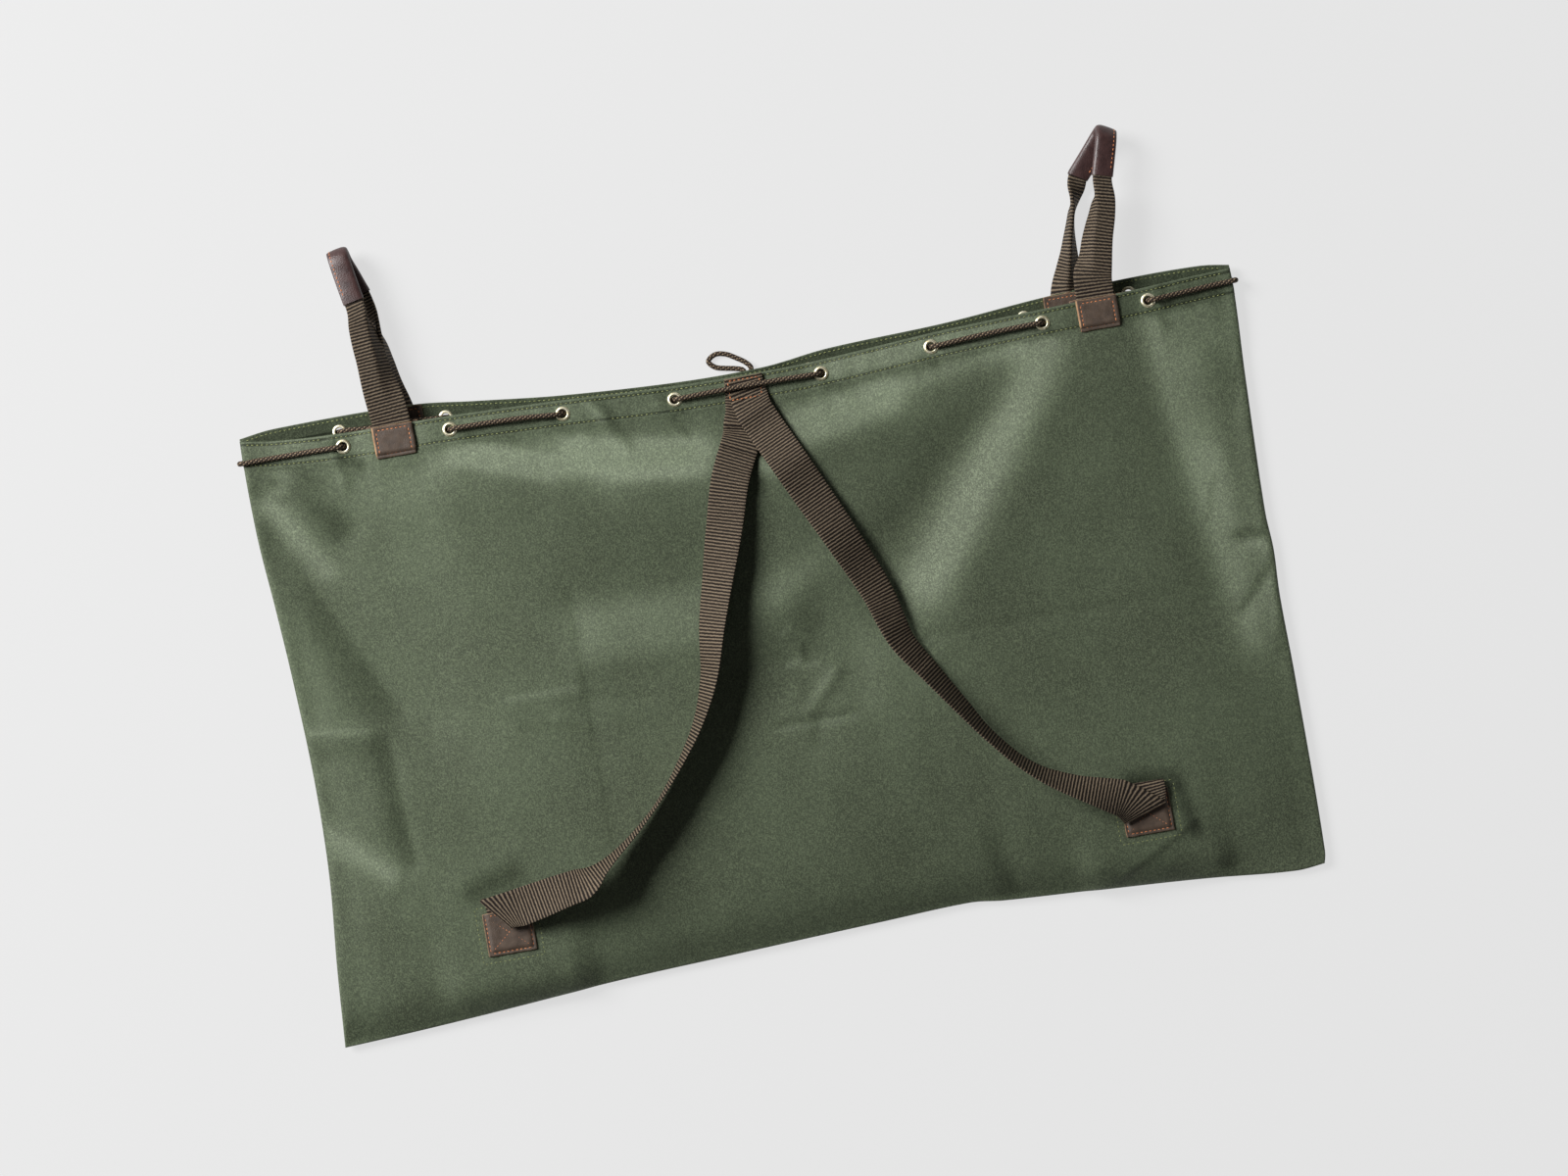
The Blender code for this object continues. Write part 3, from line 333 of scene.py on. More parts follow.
# how the walls stand, in metres: the belly, the curl of the seams, the raised mouth and the layers of cloth
stand = {name: value * mm for name, value in {
    "mouthMiddle": 10, "belly": 34, "bellyRun": 48, "seamLift": 6.5, "seamRun": 22,
    "mouthLift": 7.8, "mouthFrom": 175, "mouthTo": 268, "knotLift": 6.2, "knotAt": 6, "knotWide": 45,
    "layer": 1.5, "hemLayer": 3.0, "hemFrom": 262, "hemTo": 282, "hemFlat": 40, "hemFade": 65, "gap": 0.3,
    "patchFlat": 30, "patchFade": 35}.items()}
# eyelets and handles by distance from the mouth's middle, and how far the eyelets lie under the rim, in mm
mouth = {"front": {"middle": 10, "eyelets": (437.5, 321.5, 200, 79.5), "down": 14.5, "handles": 382},
         "back": {"middle": 0, "eyelets": (430, 315, 196, 78), "down": 16.5, "handles": 366.5}}
eyeletRows = {side: [(row["middle"] + away) * mm for away in (*(-e for e in row["eyelets"]), *row["eyelets"][::-1])]
              for side, row in mouth.items()}
handleAt = {side: [(row["middle"] + away * row["handles"]) * mm for away in (-1, 1)] for side, row in mouth.items()}
# how far from an eyelet and a handle the hem lies level, and where it lies free, in mm
levelRun = {"eyelet": (9, 21), "handle": (24, 33)}
sides = ("left", "right")
strapPatch = {"left": (-341.5 * mm, -241 * mm), "right": (351 * mm, -233.5 * mm), "size": (52 * mm, 46 * mm)}

# Folds of the front wall, each along a line from a to b: how far it rises, and how wide it is to
# the left and right of the line, looking from a to b
folds = (
    ("side valley", -540, 240, -412, -5, -10, 42, 24),
    ("side roll", -505, 190, -480, 30, 7, 30, 24),
    ("side ridge", -530, 4, -405, -8, 7, 14, 22),
    ("side bump", -498, -50, -462, -95, 9, 30, 42),
    ("lower side ridge", -520, -165, -440, -188, 6, 40, 34),
    ("left crest", -305, 252, -35, 186, 9, 44, 62),
    ("left step", -215, 98, -85, 90, -4, 22, 22),
    ("left plateau", -215, 28, -90, 18, 5, 44, 18),
    ("pack crease", -216, 105, -216, -180, -1.6, 15, 15),
    ("left wrinkle", -300, 2, -225, 2, 2, 14, 14),
    ("middle dip", 95, 85, 12, -4, -6, 30, 30),
    ("middle crease", 26, -28, 18, -105, -2.4, 14, 14),
    ("middle ridge", 130, -20, -25, -72, 4, 44, 26),
    ("right crest", 48, 212, 285, 268, 8, 34, 42),
    ("handle valley", 310, 282, 128, 62, -12, 48, 42),
    ("handle ridge", 372, 250, 185, 10, 7, 90, 44),
    ("right valley", 428, 280, 466, -10, -7, 26, 34),
    ("right roll", 496, 255, 506, 60, 6, 26, 26),
    ("right notch", 540, 14, 488, -38, -6, 12, 12),
    ("upper right notch", 540, 42, 500, 36, -4, 10, 10),
    ("right ridge", 528, -22, 480, -80, 5, 26, 26),
    ("bottom dent", 190, -236, 200, -312, -6, 17, 17),
    ("right crease", 402, -262, 305, -303, -3, 8, 8),
    ("left bottom dent", -430, -296, -350, -310, -4, 26, 20),
    ("corner dent", -475, 262, -434, 212, -5, 15, 15),
)
# small wrinkles, sharper and shallower than the folds
wrinkles = (
    ("hem pull left", -445, 318, -430, 262, 1.2, 5, 7),
    ("hem pull middle", -150, 286, -128, 245, 1.0, 5, 7),
    ("hem pull strap", -85, 286, -65, 250, 1.0, 5, 6),
    ("edge dent", -527, 270, -505, 268, -1.6, 8, 8),
    ("pocket line", 150, -8, 430, -10, -0.8, 5, 9),
    ("short line", -20, -75, 60, -73, -0.9, 4, 6),
    ("crumple", -250, -25, -220, -40, 1.2, 5, 5),
    ("crumple tail", -215, -10, -150, -22, -1.0, 5, 7),
    ("bottom line", 50, -292, 150, -290, 1.0, 6, 7),
    ("dark crescent", -436, -20, -430, -150, -1.4, 8, 14),
    ("bright lobe", -520, -108, -455, -168, 1.6, 14, 18),
)


# how far points lie past the ends of a line from a to b, given in mm, and how far to its left
def byLine(x, y, ax, ay, bx, by):
    length = math.dist((ax, ay), (bx, by)) * mm
    alongX, alongY = (bx - ax) * mm / length, (by - ay) * mm / length
    offX, offY = x - ax * mm, y - ay * mm
    run = offX * alongX + offY * alongY
    return np.maximum(np.maximum(-run, run - length), 0), alongX * offY - alongY * offX


foldBlend, foldEnd = (-8, 8), 0.8    # mm over its line, and share of its width past its ends


def foldHeight(table, x, y):
    total = np.zeros(np.broadcast(x, y).shape)
    for _name, ax, ay, bx, by, rise, left, right in table:
        past, side = byLine(x, y, ax, ay, bx, by)
        width = (right + (left - right) * between(side, foldBlend)) * mm
        total += rise * mm * np.exp(-(side / width) ** 2 - (past / (foldEnd * width)) ** 2)
    return total


# x drawn towards the middle of each eyelet and handle, so that the hem lies level there
def settled(x, side):
    x = np.array(x, float)
    for kind, middles in (("eyelet", eyeletRows[side]), ("handle", handleAt[side])):
        for middle in middles:
            x += (middle - x) * (1 - between(abs(x - middle), levelRun[kind]))
    return x


def rimY(side, x):
    return curveThrough(outline[side + "Rim"], x)


# distances in from the left, right and bottom seams
def insets(x, y):
    return (x - curveThrough(outline["leftSeam"], y), curveThrough(outline["rightSeam"], y) - x,
            y - curveThrough(outline["bottomSeam"], x))


# thickness of one wall, doubled at the hem
def layerAt(y):
    return stand["layer"] + (stand["hemLayer"] - stand["layer"]) * smoothStep(y, stand["hemFrom"], stand["hemTo"])


def backBottom(x, y):
    curl = stand["seamLift"] * (1 - smoothStep(np.minimum.reduce(insets(x, y)), 0, stand["seamRun"]))
    knot = stand["knotLift"] * np.exp(-((settled(x, "back") - stand["knotAt"]) / stand["knotWide"]) ** 2)
    return np.maximum(curl, smoothStep(y, stand["mouthFrom"], stand["mouthTo"]) * (stand["mouthLift"] + knot))


def seamTop(x, y):
    return backBottom(x, y) + 2 * layerAt(y) + stand["gap"]


def frontTop(x, y):
    x, y = np.asarray(x, float), np.asarray(y, float)
    seam = seamTop(x, y)
    inset = insets(x, y)
    rise = [1 - np.exp(-np.maximum(d, 0) / stand["bellyRun"]) for d in inset]
    fade = 1 - np.exp(-np.maximum(np.minimum.reduce(inset), 0) / stand["seamRun"])
    belly = seam + stand["belly"] * rise[0] * rise[1] * rise[2] + foldHeight(folds, x, y) * fade
    rim = np.maximum(curveThrough(rimHeight, abs(settled(x, "front") - stand["mouthMiddle"])), seam)
    under = rimY("front", x) - y
    z = rim + (belly - rim) * smoothStep(under, stand["hemFlat"], stand["hemFlat"] + stand["hemFade"])
    halfX, halfY = (s / 2 + stand["patchFlat"] for s in strapPatch["size"])
    for side in sides:
        cx, cy = strapPatch[side]
        away = np.hypot(np.maximum(abs(x - cx) - halfX, 0), np.maximum(abs(y - cy) - halfY, 0))
        z = z + (seatHeight(cx, cy) - z) * (1 - smoothStep(away, 0, stand["patchFade"]))
    return np.maximum(z, seam)


# the level seat under a strap's patch
def seatHeight(cx, cy):
    left, right, low = insets(cx, cy)
    rise = [1 - math.exp(-inset / stand["bellyRun"]) for inset in (min(left, right), low)]
    return seamTop(cx, cy) + stand["seamLift"] + stand["belly"] * rise[0] * rise[1]


def wallFace(side, x, y):
    return frontTop(x, y) if side == "front" else backBottom(x, y)


def faceAt(side, x, y):
    return float(wallFace(side, x, y))


# Walls of the bag

def linked(name, data):
    piece = bpy.data.objects.new(name, data)
    bpy.context.scene.collection.objects.link(piece)
    return piece


def makeMesh(name, points, faces, loopUvs=None):
    data = bpy.data.meshes.new(name)
    data.from_pydata(np.asarray(points).reshape(-1, 3).tolist(), [], faces)
    if loopUvs is not None:
        data.uv_layers.new(name="cloth").data.foreach_set("uv", np.asarray(loopUvs, float).ravel())
    return linked(name, data)


# quads between neighbouring rows and columns of a grid of points, which can close on itself
def gridFaces(rows, columns, closedRows=False, closedColumns=False):
    here = np.arange(rows)[:, None] * columns
    k = np.arange(columns)
    there, after = np.roll(here, -1, 0), np.roll(k, -1)
    faces = np.stack([here + k, here + after, there + after, there + k], -1)
    return faces[:rows if closedRows else -1, :columns if closedColumns else -1].reshape(-1, 4)


def makeActive(piece):
    bpy.ops.object.select_all(action="DESELECT")
    piece.select_set(True)
    bpy.context.view_layer.objects.active = piece


def applyModifiers(piece):
    makeActive(piece)
    for modifier in list(piece.modifiers):
        bpy.ops.object.modifier_apply(modifier=modifier.name)


def faceOutwards(piece):
    shell = bmesh.new()
    shell.from_mesh(piece.data)
    bmesh.ops.recalc_face_normals(shell, faces=shell.faces[:])
    shell.to_mesh(piece.data)
    shell.free()


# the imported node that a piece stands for: shoulderStrapLeft for shoulder_strap_left, and so on
def nodeOf(piece):
    name = piece.name.split(".")[0]
    return "".join("_" + c.lower() if c.isupper() or c.isdigit() else c for c in name)


def settlePiece(piece, slot, materials, smoothAngle, *nodes):
    makeActive(piece)
    piece.data.materials.clear()
    for material in materials:
        piece.data.materials.append(material)
    bpy.ops.object.shade_smooth_by_angle(angle=math.radians(smoothAngle))
    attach(piece, "root")
    if nodes:
        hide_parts(*nodes)
    piece.select_set(False)
    return piece


# Slack in the cloth too gentle to shift the wall by more than its own play. It is kept as the way
# the face leans: each zone runs from a to b, leans towards the window side by so many degrees,
# reaches so far to the left and right of its line, and has a soft (2) or a crisp (4) edge
slack = (
    ("hem left", -305, 272, -215, 240, 19.3, 16, 17, 4),
    ("hem left of strap", -178, 250, -62, 226, 25.2, 20, 28, 4),
    ("pull in hem", -150, 298, -122, 245, -10, 5, 8, 2),
    ("second pull", -85, 292, -66, 250, -8, 4, 6, 2),
    ("corner streak", -516, 255, -468, 172, 14.8, 12, 13, 2),
    ("upper corner streak", -505, 292, -458, 246, 8.9, 10, 10, 2),
    ("side hollow edge", -522, 225, -424, 18, -10, 5, 26, 2),
    ("side hollow", -505, 140, -470, 30, -4, 30, 30, 2),
    ("side line", -525, 6, -455, -5, 10.4, 4, 5, 2),
    ("side bump foot", -440, -25, -432, -145, -10, 8, 17, 2),
    ("side bump top", -520, -18, -460, -22, -5, 12, 12, 2),
    ("side lobe", -522, -112, -458, -158, 16.3, 18, 13, 2),
    ("left face", -370, 250, -330, -60, 4.4, 60, 60, 2),
    ("left plateau", -200, 58, -95, 58, 10.4, 32, 32, 4),
    ("packed line", -220, 105, -220, 10, -7, 4, 3, 2),
    ("packed line below", -219, 10, -217, -180, -4, 4, 4, 2),
    ("under left hem", -190, 148, -70, 150, -4, 40, 40, 2),
    ("wrinkle", -300, 3, -228, 3, 10.4, 3.5, 4, 2),
    ("wrinkle below", -290, -28, -235, -36, -4, 5, 6, 2),
    ("between straps top", -6, 206, 25, 197, 17.8, 12, 12, 2),
    ("between straps", -2, 66, 70, 96, 13.3, 20, 22, 2),
    ("between straps low", 62, 92, 14, 32, -5, 14, 14, 2),
    ("middle face", 25, -75, 115, -45, 5.9, 42, 55, 2),
    ("hem right of strap", 62, 240, 150, 254, 20.7, 22, 26, 4),
    ("hem right", 150, 258, 300, 281, 16, 11, 13, 2),
    ("wedge", 275, 246, 115, 112, -7, 20, 20, 2),
    ("right band", 342, 288, 168, 55, 26.5, 28, 36, 2),
    ("right band foot", 158, 42, 120, -15, 4.4, 20, 24, 2),
    ("beside band", 378, 262, 215, 35, -4, 24, 24, 2),
    ("right face", 442, 292, 492, -60, 19.4, 95, 18, 2),
    ("right edge", 530, 250, 525, -40, 5.9, 20, 20, 2),
    ("right face core", 488, 130, 500, -70, 7.4, 18, 16, 2),
    ("edge fold above", 498, 42, 540, 38, -16, 5, 5, 2),
    ("edge fold", 490, -36, 536, 12, -17, 5, 6, 2),
    ("bottom dent", 183, -245, 195, -292, -7, 13, 13, 2),
    ("upper hollow", -476, 268, -448, 218, -19, 16, 17, 2),
    ("edge hollow", -520, 262, -503, 256, -9, 7, 7, 2),
    ("beside hem", -303, 276, -300, 252, -6, 7, 7, 2),
    ("hem slant", -250, 282, -222, 236, -6, 4, 6, 2),
    ("low face", -120, -250, 300, -250, -2.5, 50, 60, 2),
    ("below left hem", -330, 264, -190, 262, 7, 14, 16, 2),
    ("left of root", -150, 212, -55, 236, 9, 22, 24, 2),
    ("bottom left", -540, -330, -222, -308, -17, 25, 25, 2),
    ("bottom middle", -182, -304, 130, -293, -15, 25, 25, 2),
    ("bottom right", 172, -294, 375, -304, -13, 22, 22, 2),
    ("over right patch", 342, -199, 382, -201, -20, 12, 12, 2),
    ("beside right patch", 390, -214, 400, -262, -20, 8, 9, 2),
    ("over left patch", -372, -192, -330, -180, -17, 13, 13, 2),
    ("patch crease", 306, -305, 400, -253, -16, 3, 5, 2),
    ("wrinkle knot", 20, 4, 21, -9, -15, 4, 4, 2),
    ("wrinkle knot shine", 2, -13, 14, -9, 13, 4, 4, 2),
    ("wrinkle shine", 17, -16, 31, -16, 11, 4, 4, 2),
    ("short streak", 0, 22, 8, 27, 10, 4, 4, 2),
    ("slant fold", 58, -30, 20, -70, -10, 7, 6, 2),
    ("slant fold foot", 18, -78, 13, -98, -9, 4, 4, 2),
    ("slant fold shine", 46, -26, 12, -62, 9, 5, 6, 2),
    ("level fold shine", -60, -18, 0, -15, 5, 8, 8, 2),
    ("middle line", -25, -79, 63, -80, 8, 4, 4, 2),
    ("over middle line", -25, -73, 63, -74, -5, 4, 4, 2),
    ("hollow between", 28, 10, 33, 30, -7, 13, 13, 2),
    ("right of middle", 86, 8, 86, -64, 6, 18, 16, 2),
    ("edge lobe", 512, 30, 530, 25, 8, 8, 8, 2),
    ("lower edge shade", 531, -48, 522, -88, -10, 7, 5, 2),
    ("thin line", 486, 110, 469, 62, -6, 4, 4, 2),
)
# the same for the hem, where the cord and the eyelets pull it into short creases
pulls = (
    ("under rim", -528, 324, -463, 320, -9, 3, 4, 2),
    ("eyelet pull", -458, 317, -438, 303, -16, 4, 6, 2),
    ("below eyelet", -432, 291, -413, 277, -14, 6, 6, 2),
    ("beside eyelet", -444, 290, -436, 280, -9, 5, 5, 2),
    ("cord shade left", -520, 293, -450, 289, -7, 3, 5, 2),
    ("second eyelet pull", -306, 302, -290, 286, -9, 4, 6, 2),
    ("second span", -290, 290, -215, 288, -6, 3, 6, 2),
    ("third eyelet pull", -198, 286, -186, 272, -9, 5, 5, 2),
    ("hem crease", -150, 302, -136, 280, -13, 4, 6, 2),
    ("hem crease shine", -164, 300, -150, 280, 9, 5, 5, 2),
    ("fourth eyelet pull", -84, 300, -66, 276, -12, 4, 6, 2),
    ("fifth eyelet pull", 92, 282, 108, 268, -8, 5, 5, 2),
    ("sixth eyelet pull", 196, 290, 210, 278, -8, 5, 5, 2),
    ("right span", 225, 288, 320, 294, -6, 3, 6, 2),
    ("seventh eyelet pull", 336, 296, 350, 280, -9, 4, 6, 2),
    ("last eyelet pull", 452, 296, 466, 276, -11, 4, 7, 2),
    ("last span", 465, 296, 530, 300, -7, 3, 6, 2),
    ("hem shine", 90, 294, 315, 300, 13, 14, 14, 4),
    ("left hem shine", -300, 302, -170, 296, 5, 12, 12, 4),
)
# how the wall lies between the zones, in degrees by x: "keep" is the share of the real slopes that
# shows, "window" the way to the light, "inside" and "hem" the lean of the back wall and of the hem.
# "seam", "body" and "pull" are where it begins, in mm, and "upright" how far up a face must look.
lie = {"across": ((-540, -3), (-400, -2), (-200, -3), (0, -5), (200, -5.5), (540, -5.5)), "keep": 0.35,
       "window": (-0.829, 0.559), "inside": -20, "hem": 0.5, "seam": (1, 5), "body": (24, 36), "pull": (1, 4),
       "upright": (0.2, 0.5)}


def leanOf(table, x, y):
    total = np.zeros_like(x)
    for _name, ax, ay, bx, by, lean, left, right, edge in table:
        past, side = byLine(x, y, ax, ay, bx, by)
        width = np.where(side > 0, left, right) * mm
        total += lean * np.exp(-abs(side / width) ** edge - (past / ((left + right) / 2 * mm)) ** 2)
    return total


# slopes of a wall's face along x and y, taken over a short step
def slopesOf(height, x, y, step):
    return ((height(x + step, y) - height(x - step, y)) / (2 * step),
            (height(x, y + step) - height(x, y - step)) / (2 * step))


def leanNormals(piece, side):
    data = piece.data
    facing = np.empty((len(data.loops), 3))
    data.corner_normals.foreach_get("vector", facing.ravel())
    at = np.empty(len(data.loops), int)
    data.loops.foreach_get("vertex_index", at)
    places = np.empty((len(data.vertices), 3))
    data.vertices.foreach_get("co", places.ravel())
    x, y, _z = places.T
    away = between(np.minimum.reduce(insets(x, y)), lie["seam"])
    slopes = (0, 0)
    lean = np.full_like(x, lie["inside"])
    if side == "front":
        beneath = rimY("front", x) - y
        fade = between(beneath, lie["body"])
        lean = (np.interp(x / mm, *zip(*lie["across"])) + leanOf(slack, x, y)) * fade + lie["hem"] * (1 - fade)
        lean += leanOf(pulls, x, y) * between(beneath, lie["pull"])
        slopes = [(1 - lie["keep"]) * fade * slope for slope in slopesOf(frontTop, x, y, 1 * mm)]
    low, high = lie["upright"]
    share = np.clip((facing[:, 2] - low) / (high - low), 0, 1) * facing[:, 2]
    for axis in (0, 1):
        shift = (slopes[axis] + np.tan(np.radians(lean)) * lie["window"][axis]) * away
        facing[:, axis] += shift[at] * share
    data.normals_split_custom_set(unit(facing).tolist())


# the walls' meshes, in mm: their steps, cloth, turned hem and eyelet holes, and rows close to the seams
wallMesh = {"half": 538, "length": 600, "step": {"front": 4.7, "back": 9}, "cloth": 1.3, "roll": 1.5,
            "hole": 5.6, "holeReach": 7.5, "holeCut": 5.5, "edgeRun": 74,
            "seamRows": (0, 0.35, 0.95, 1.8, 3.2), "eyeletColumns": (-9.5, -6, -3, 0, 3, 6, 9.5)}
hemInside = (29, 26.5, 23.5, 20.5, 17.5, 14.5, 11.5, 8.5, 5.5, 3.0, 1.5)
hemRoll = (145, 110, 75, 35)                                         # degrees round the rim
hemDowns = (1.5, 3.0, 4.0, 5.5, 8.5, 11.5, 14.5, 17.5, 20.5, 23.5, 25.3, 26.2, 27.1, 28.6, 30.2, 32.5, 36, 40)
# small relief of the cloth, in mm: quiet round the eyelets and patches, waves per metre and height
ruffles = {"eyelet": (9, 16), "patch": (26, 36), "strapPatch": (36, 60), "broad": 1.5, "fine": 0.55, "pucker": 0.75,
           "puckerAt": 22, "puckerWide": 34, "drawnIn": 0.35, "drawnWide": 1.1,
           "seam": (2, 14), "body": (26, 90), "hemStep": 0.7, "hemEnd": (28, 33), "stepFade": 120, "patchDown": 16}


def fillBetween(marks, widest):
    marks = sorted(set(np.round(marks, 6)))
    out = [marks[0]]
    for mark in marks[1:]:
        steps = max(1, math.ceil((mark - out[-1]) / widest - 1e-6))
        out += list(out[-1] + (mark - out[-1]) * (np.arange(steps) + 1) / steps)
    return np.array(out)


# a wall's outer face as rows from the inner end of its turned hem, round the rim, to the bottom
def wallGrid(side):
    half, roll, step = (size * mm for size in (wallMesh["half"], wallMesh["roll"], wallMesh["step"][side]))
    marks = [s * (half - d * mm) for s in (-1, 1) for d in wallMesh["seamRows"]]
    marks += [x + d * mm for x in eyeletRows[side] for d in wallMesh["eyeletColumns"]]
    u = fillBetween(marks, step)
    hem = [(d * mm, 2 * roll) for d in hemInside]
    hem += [(roll - roll * math.sin(a), roll - roll * math.cos(a)) for a in np.radians(hemRoll)]
    hem += [(d * mm, 0.0) for d in hemDowns]
    length = wallMesh["length"]
    shares = fillBetween([0] + [1 - d / length for d in wallMesh["seamRows"]], step / (length * mm))[1:, None]
    down = np.array([d for d, _ in hem])[:, None]
    under = np.array([z for _, z in hem] + [0.0] * len(shares))[:, None] * np.ones_like(u)
    x = np.tile(u, (len(under), 1))
    for _ in range(3):
        top = rimY(side, x)
        low = top[len(hem):] - stand["hemFlat"]
        low -= shares * (low - curveThrough(outline["bottomSeam"], x[len(hem):]))
        y = np.concatenate([top[:len(hem)] - down, low])
        edge = np.where(u < 0, curveThrough(outline["leftSeam"], y), curveThrough(outline["rightSeam"], y))
        x = u + (edge - np.copysign(half, u)) * smoothStep(abs(u), half - wallMesh["edgeRun"] * mm, half)
    return x, y, under, u


def closeBy(x, y, places, reach):
    near = np.zeros(np.broadcast(x, y).shape)
    for cx, cy in places:
        near = np.maximum(near, 1 - between(np.hypot(x - cx, y - cy), reach))
    return near


def eyeletPlace(side, x):
    y = float(rimY(side, x)) - mouth[side]["down"] * mm
    return x, y, faceAt(side, x, y)


# soft noise over the points, with so many waves to a metre each way
def ruffle(x, y, perX, perY, level, skew=0):
    values = [noise.noise((a * perX + b * skew, b * perY, level)) for a, b in zip(x.ravel(), y.ravel())]
    return np.array(values).reshape(x.shape)


# hem channels, wrinkles at the eyelets, soft crumples
def relief(side, x, y, beneath):
    patches = [(at, float(rimY(side, at)) - ruffles["patchDown"] * mm) for at in handleAt[side]]
    quiet = closeBy(x, y, [eyeletPlace(side, at)[:2] for at in eyeletRows[side]], ruffles["eyelet"])
    quiet = np.maximum(quiet, closeBy(x, y, patches, ruffles["patch"]))
    if side == "front":
        seats = (strapPatch["left"], strapPatch["right"])
        quiet = np.maximum(quiet, closeBy(x, y, seats, ruffles["strapPatch"]))
    calm = (1 - quiet) * between(np.minimum.reduce(insets(x, y)), ruffles["seam"])
    total = ruffle(x, y, 9, 11, 3.1) * ruffles["broad"] + ruffle(x, y, 26, 21, 7.7, 9) * ruffles["fine"]
    total *= between(beneath, ruffles["body"])
    total += (ruffle(x, y, 75, 16, 1.3) * ruffles["pucker"]
              * np.exp(-((beneath / mm - ruffles["puckerAt"]) / ruffles["puckerWide"]) ** 2))
    total *= mm
    if side == "front":
        total += foldHeight(wrinkles, x, y)
    total *= calm
    for row in stitchDowns:
        total -= ruffles["drawnIn"] * mm * np.exp(-((beneath / mm - row) / ruffles["drawnWide"]) ** 2) * (1 - quiet)
    step = between(beneath, ruffles["hemEnd"]) * np.exp(-beneath / (ruffles["stepFade"] * mm))
    return total - ruffles["hemStep"] * mm * step * calm


def makeWall(side, node):
    out = 1 if side == "front" else -1
    x, y, under, u = wallGrid(side)
    beneath = rimY(side, x) - y
    height = wallFace(side, x, y) + out * relief(side, x, y, beneath) - out * under
    # the seams are sewn inside and turned out, so each wall rounds over to the middle of the edge
    radius = layerAt(y) + stand["gap"] / 2
    away = np.clip(radius - np.minimum.reduce(insets(x, y)), 0, radius)
    drop = radius - np.sqrt(radius ** 2 - away ** 2)
    height -= out * np.where(under > 0, np.minimum(drop, radius - under / 2), drop) * (under < 1 * mm)
    flat = np.stack([x, y], -1)
    points = np.stack([x, y, height], -1)
    faces = gridFaces(*x.shape)
    middle = flat.reshape(-1, 2)[faces].mean(1)
    keep = np.ones(len(faces), bool)
    for centre in [eyeletPlace(side, at)[:2] for at in eyeletRows[side]]:
        reach = np.hypot(*np.moveaxis(flat - centre, -1, 0))[..., None]
        near = (reach < wallMesh["holeReach"] * mm) & (reach > 0.1 * mm)
        wide = wallMesh["hole"] * mm / np.maximum(reach, 1e-6)
        points[..., :2] = np.where(near, centre + (flat - centre) * wide, points[..., :2])
        keep &= np.hypot(*(middle - centre).T) > wallMesh["holeCut"] * mm
    faces = faces[keep, ::-out]
    uv = np.stack([np.tile(u, (len(x), 1)), -beneath + 4 * under], -1).reshape(-1, 2)[faces]
    used, faces = np.unique(faces, return_inverse=True)
    piece = makeMesh(side + "Wall", points.reshape(-1, 3)[used], faces.reshape(-1, 4).tolist(), uv)
    thick = piece.modifiers.new("cloth", "SOLIDIFY")
    thick.thickness = wallMesh["cloth"] * mm
    thick.offset = -1
    applyModifiers(piece)
    settlePiece(piece, "coated_cloth", [clothMaterial], 60, node)
    leanNormals(piece, side)
    return piece


frontWall = makeWall("front", "front_panel")
backWall = makeWall("back", "back_panel")
print("walls made", [len(p.data.polygons) for p in (frontWall, backWall)])


# Rolled brass eyelets: radius and height over the cloth in mm, round the profile of one
eyelet = {
    "sides": 48,
    "profile": ((4.5, 0.7), (4.62, 1.25), (5.0, 1.65), (5.6, 1.85), (6.3, 1.75), (7.0, 1.4), (7.6, 0.9),
                (7.95, 0.4), (8.0, 0.12), (5.0, 0.1), (5.0, -3.15), (7.5, -3.15), (7.6, -3.4), (7.2, -3.9),
                (6.0, -4.15), (4.9, -4.0), (4.5, -3.5), (4.5, 0.7)),
}


# a ring drawn through a profile, as a circle extruded and widened step by step
def turnedRing(name, profile, sides):
    radius, height = profile[0]
    bpy.ops.object.select_all(action="DESELECT")
    bpy.ops.mesh.primitive_circle_add(vertices=sides, radius=radius * mm, location=(0, 0, height * mm))
    ring = bpy.context.object
    ring.name = name
    bpy.ops.object.transform_apply(location=True, rotation=True, scale=True)
    bpy.ops.object.mode_set(mode="EDIT")
    bpy.ops.mesh.select_all(action="SELECT")
    for (r0, z0), (r1, z1) in zip(profile, profile[1:]):
        bpy.ops.mesh.extrude_region_move(TRANSFORM_OT_translate={"value": (0, 0, (z1 - z0) * mm)})
        bpy.ops.transform.resize(value=(r1 / r0, r1 / r0, 1), center_override=(0, 0, z1 * mm))
    bpy.ops.mesh.select_all(action="SELECT")
    bpy.ops.mesh.remove_doubles(threshold=0.00001)
    bpy.ops.mesh.fill_holes(sides=0)
    bpy.ops.mesh.select_all(action="SELECT")
    bpy.ops.mesh.normals_make_consistent(inside=False)
    bpy.ops.object.mode_set(mode="OBJECT")
    return ring


def makeEyelets():
    master = turnedRing("eyeletMaster", eyelet["profile"], eyelet["sides"])
    for side in ("front", "back"):
        for number, at in enumerate(eyeletRows[side], 1):
            place = Matrix.Translation(eyeletPlace(side, at))
            if side == "back":
                place = place @ Matrix.Rotation(math.pi, 4, "X")
            copy = linked(f"eyelet{side.capitalize()}{number}", master.data.copy())
            copy.data.transform(place @ Matrix.Rotation(number * 1.1, 4, "Z"))
            settlePiece(copy, "eyelet_brass", [brassMaterial], 40, nodeOf(copy))
    bpy.data.objects.remove(master)


makeEyelets()
print("eyelets made")


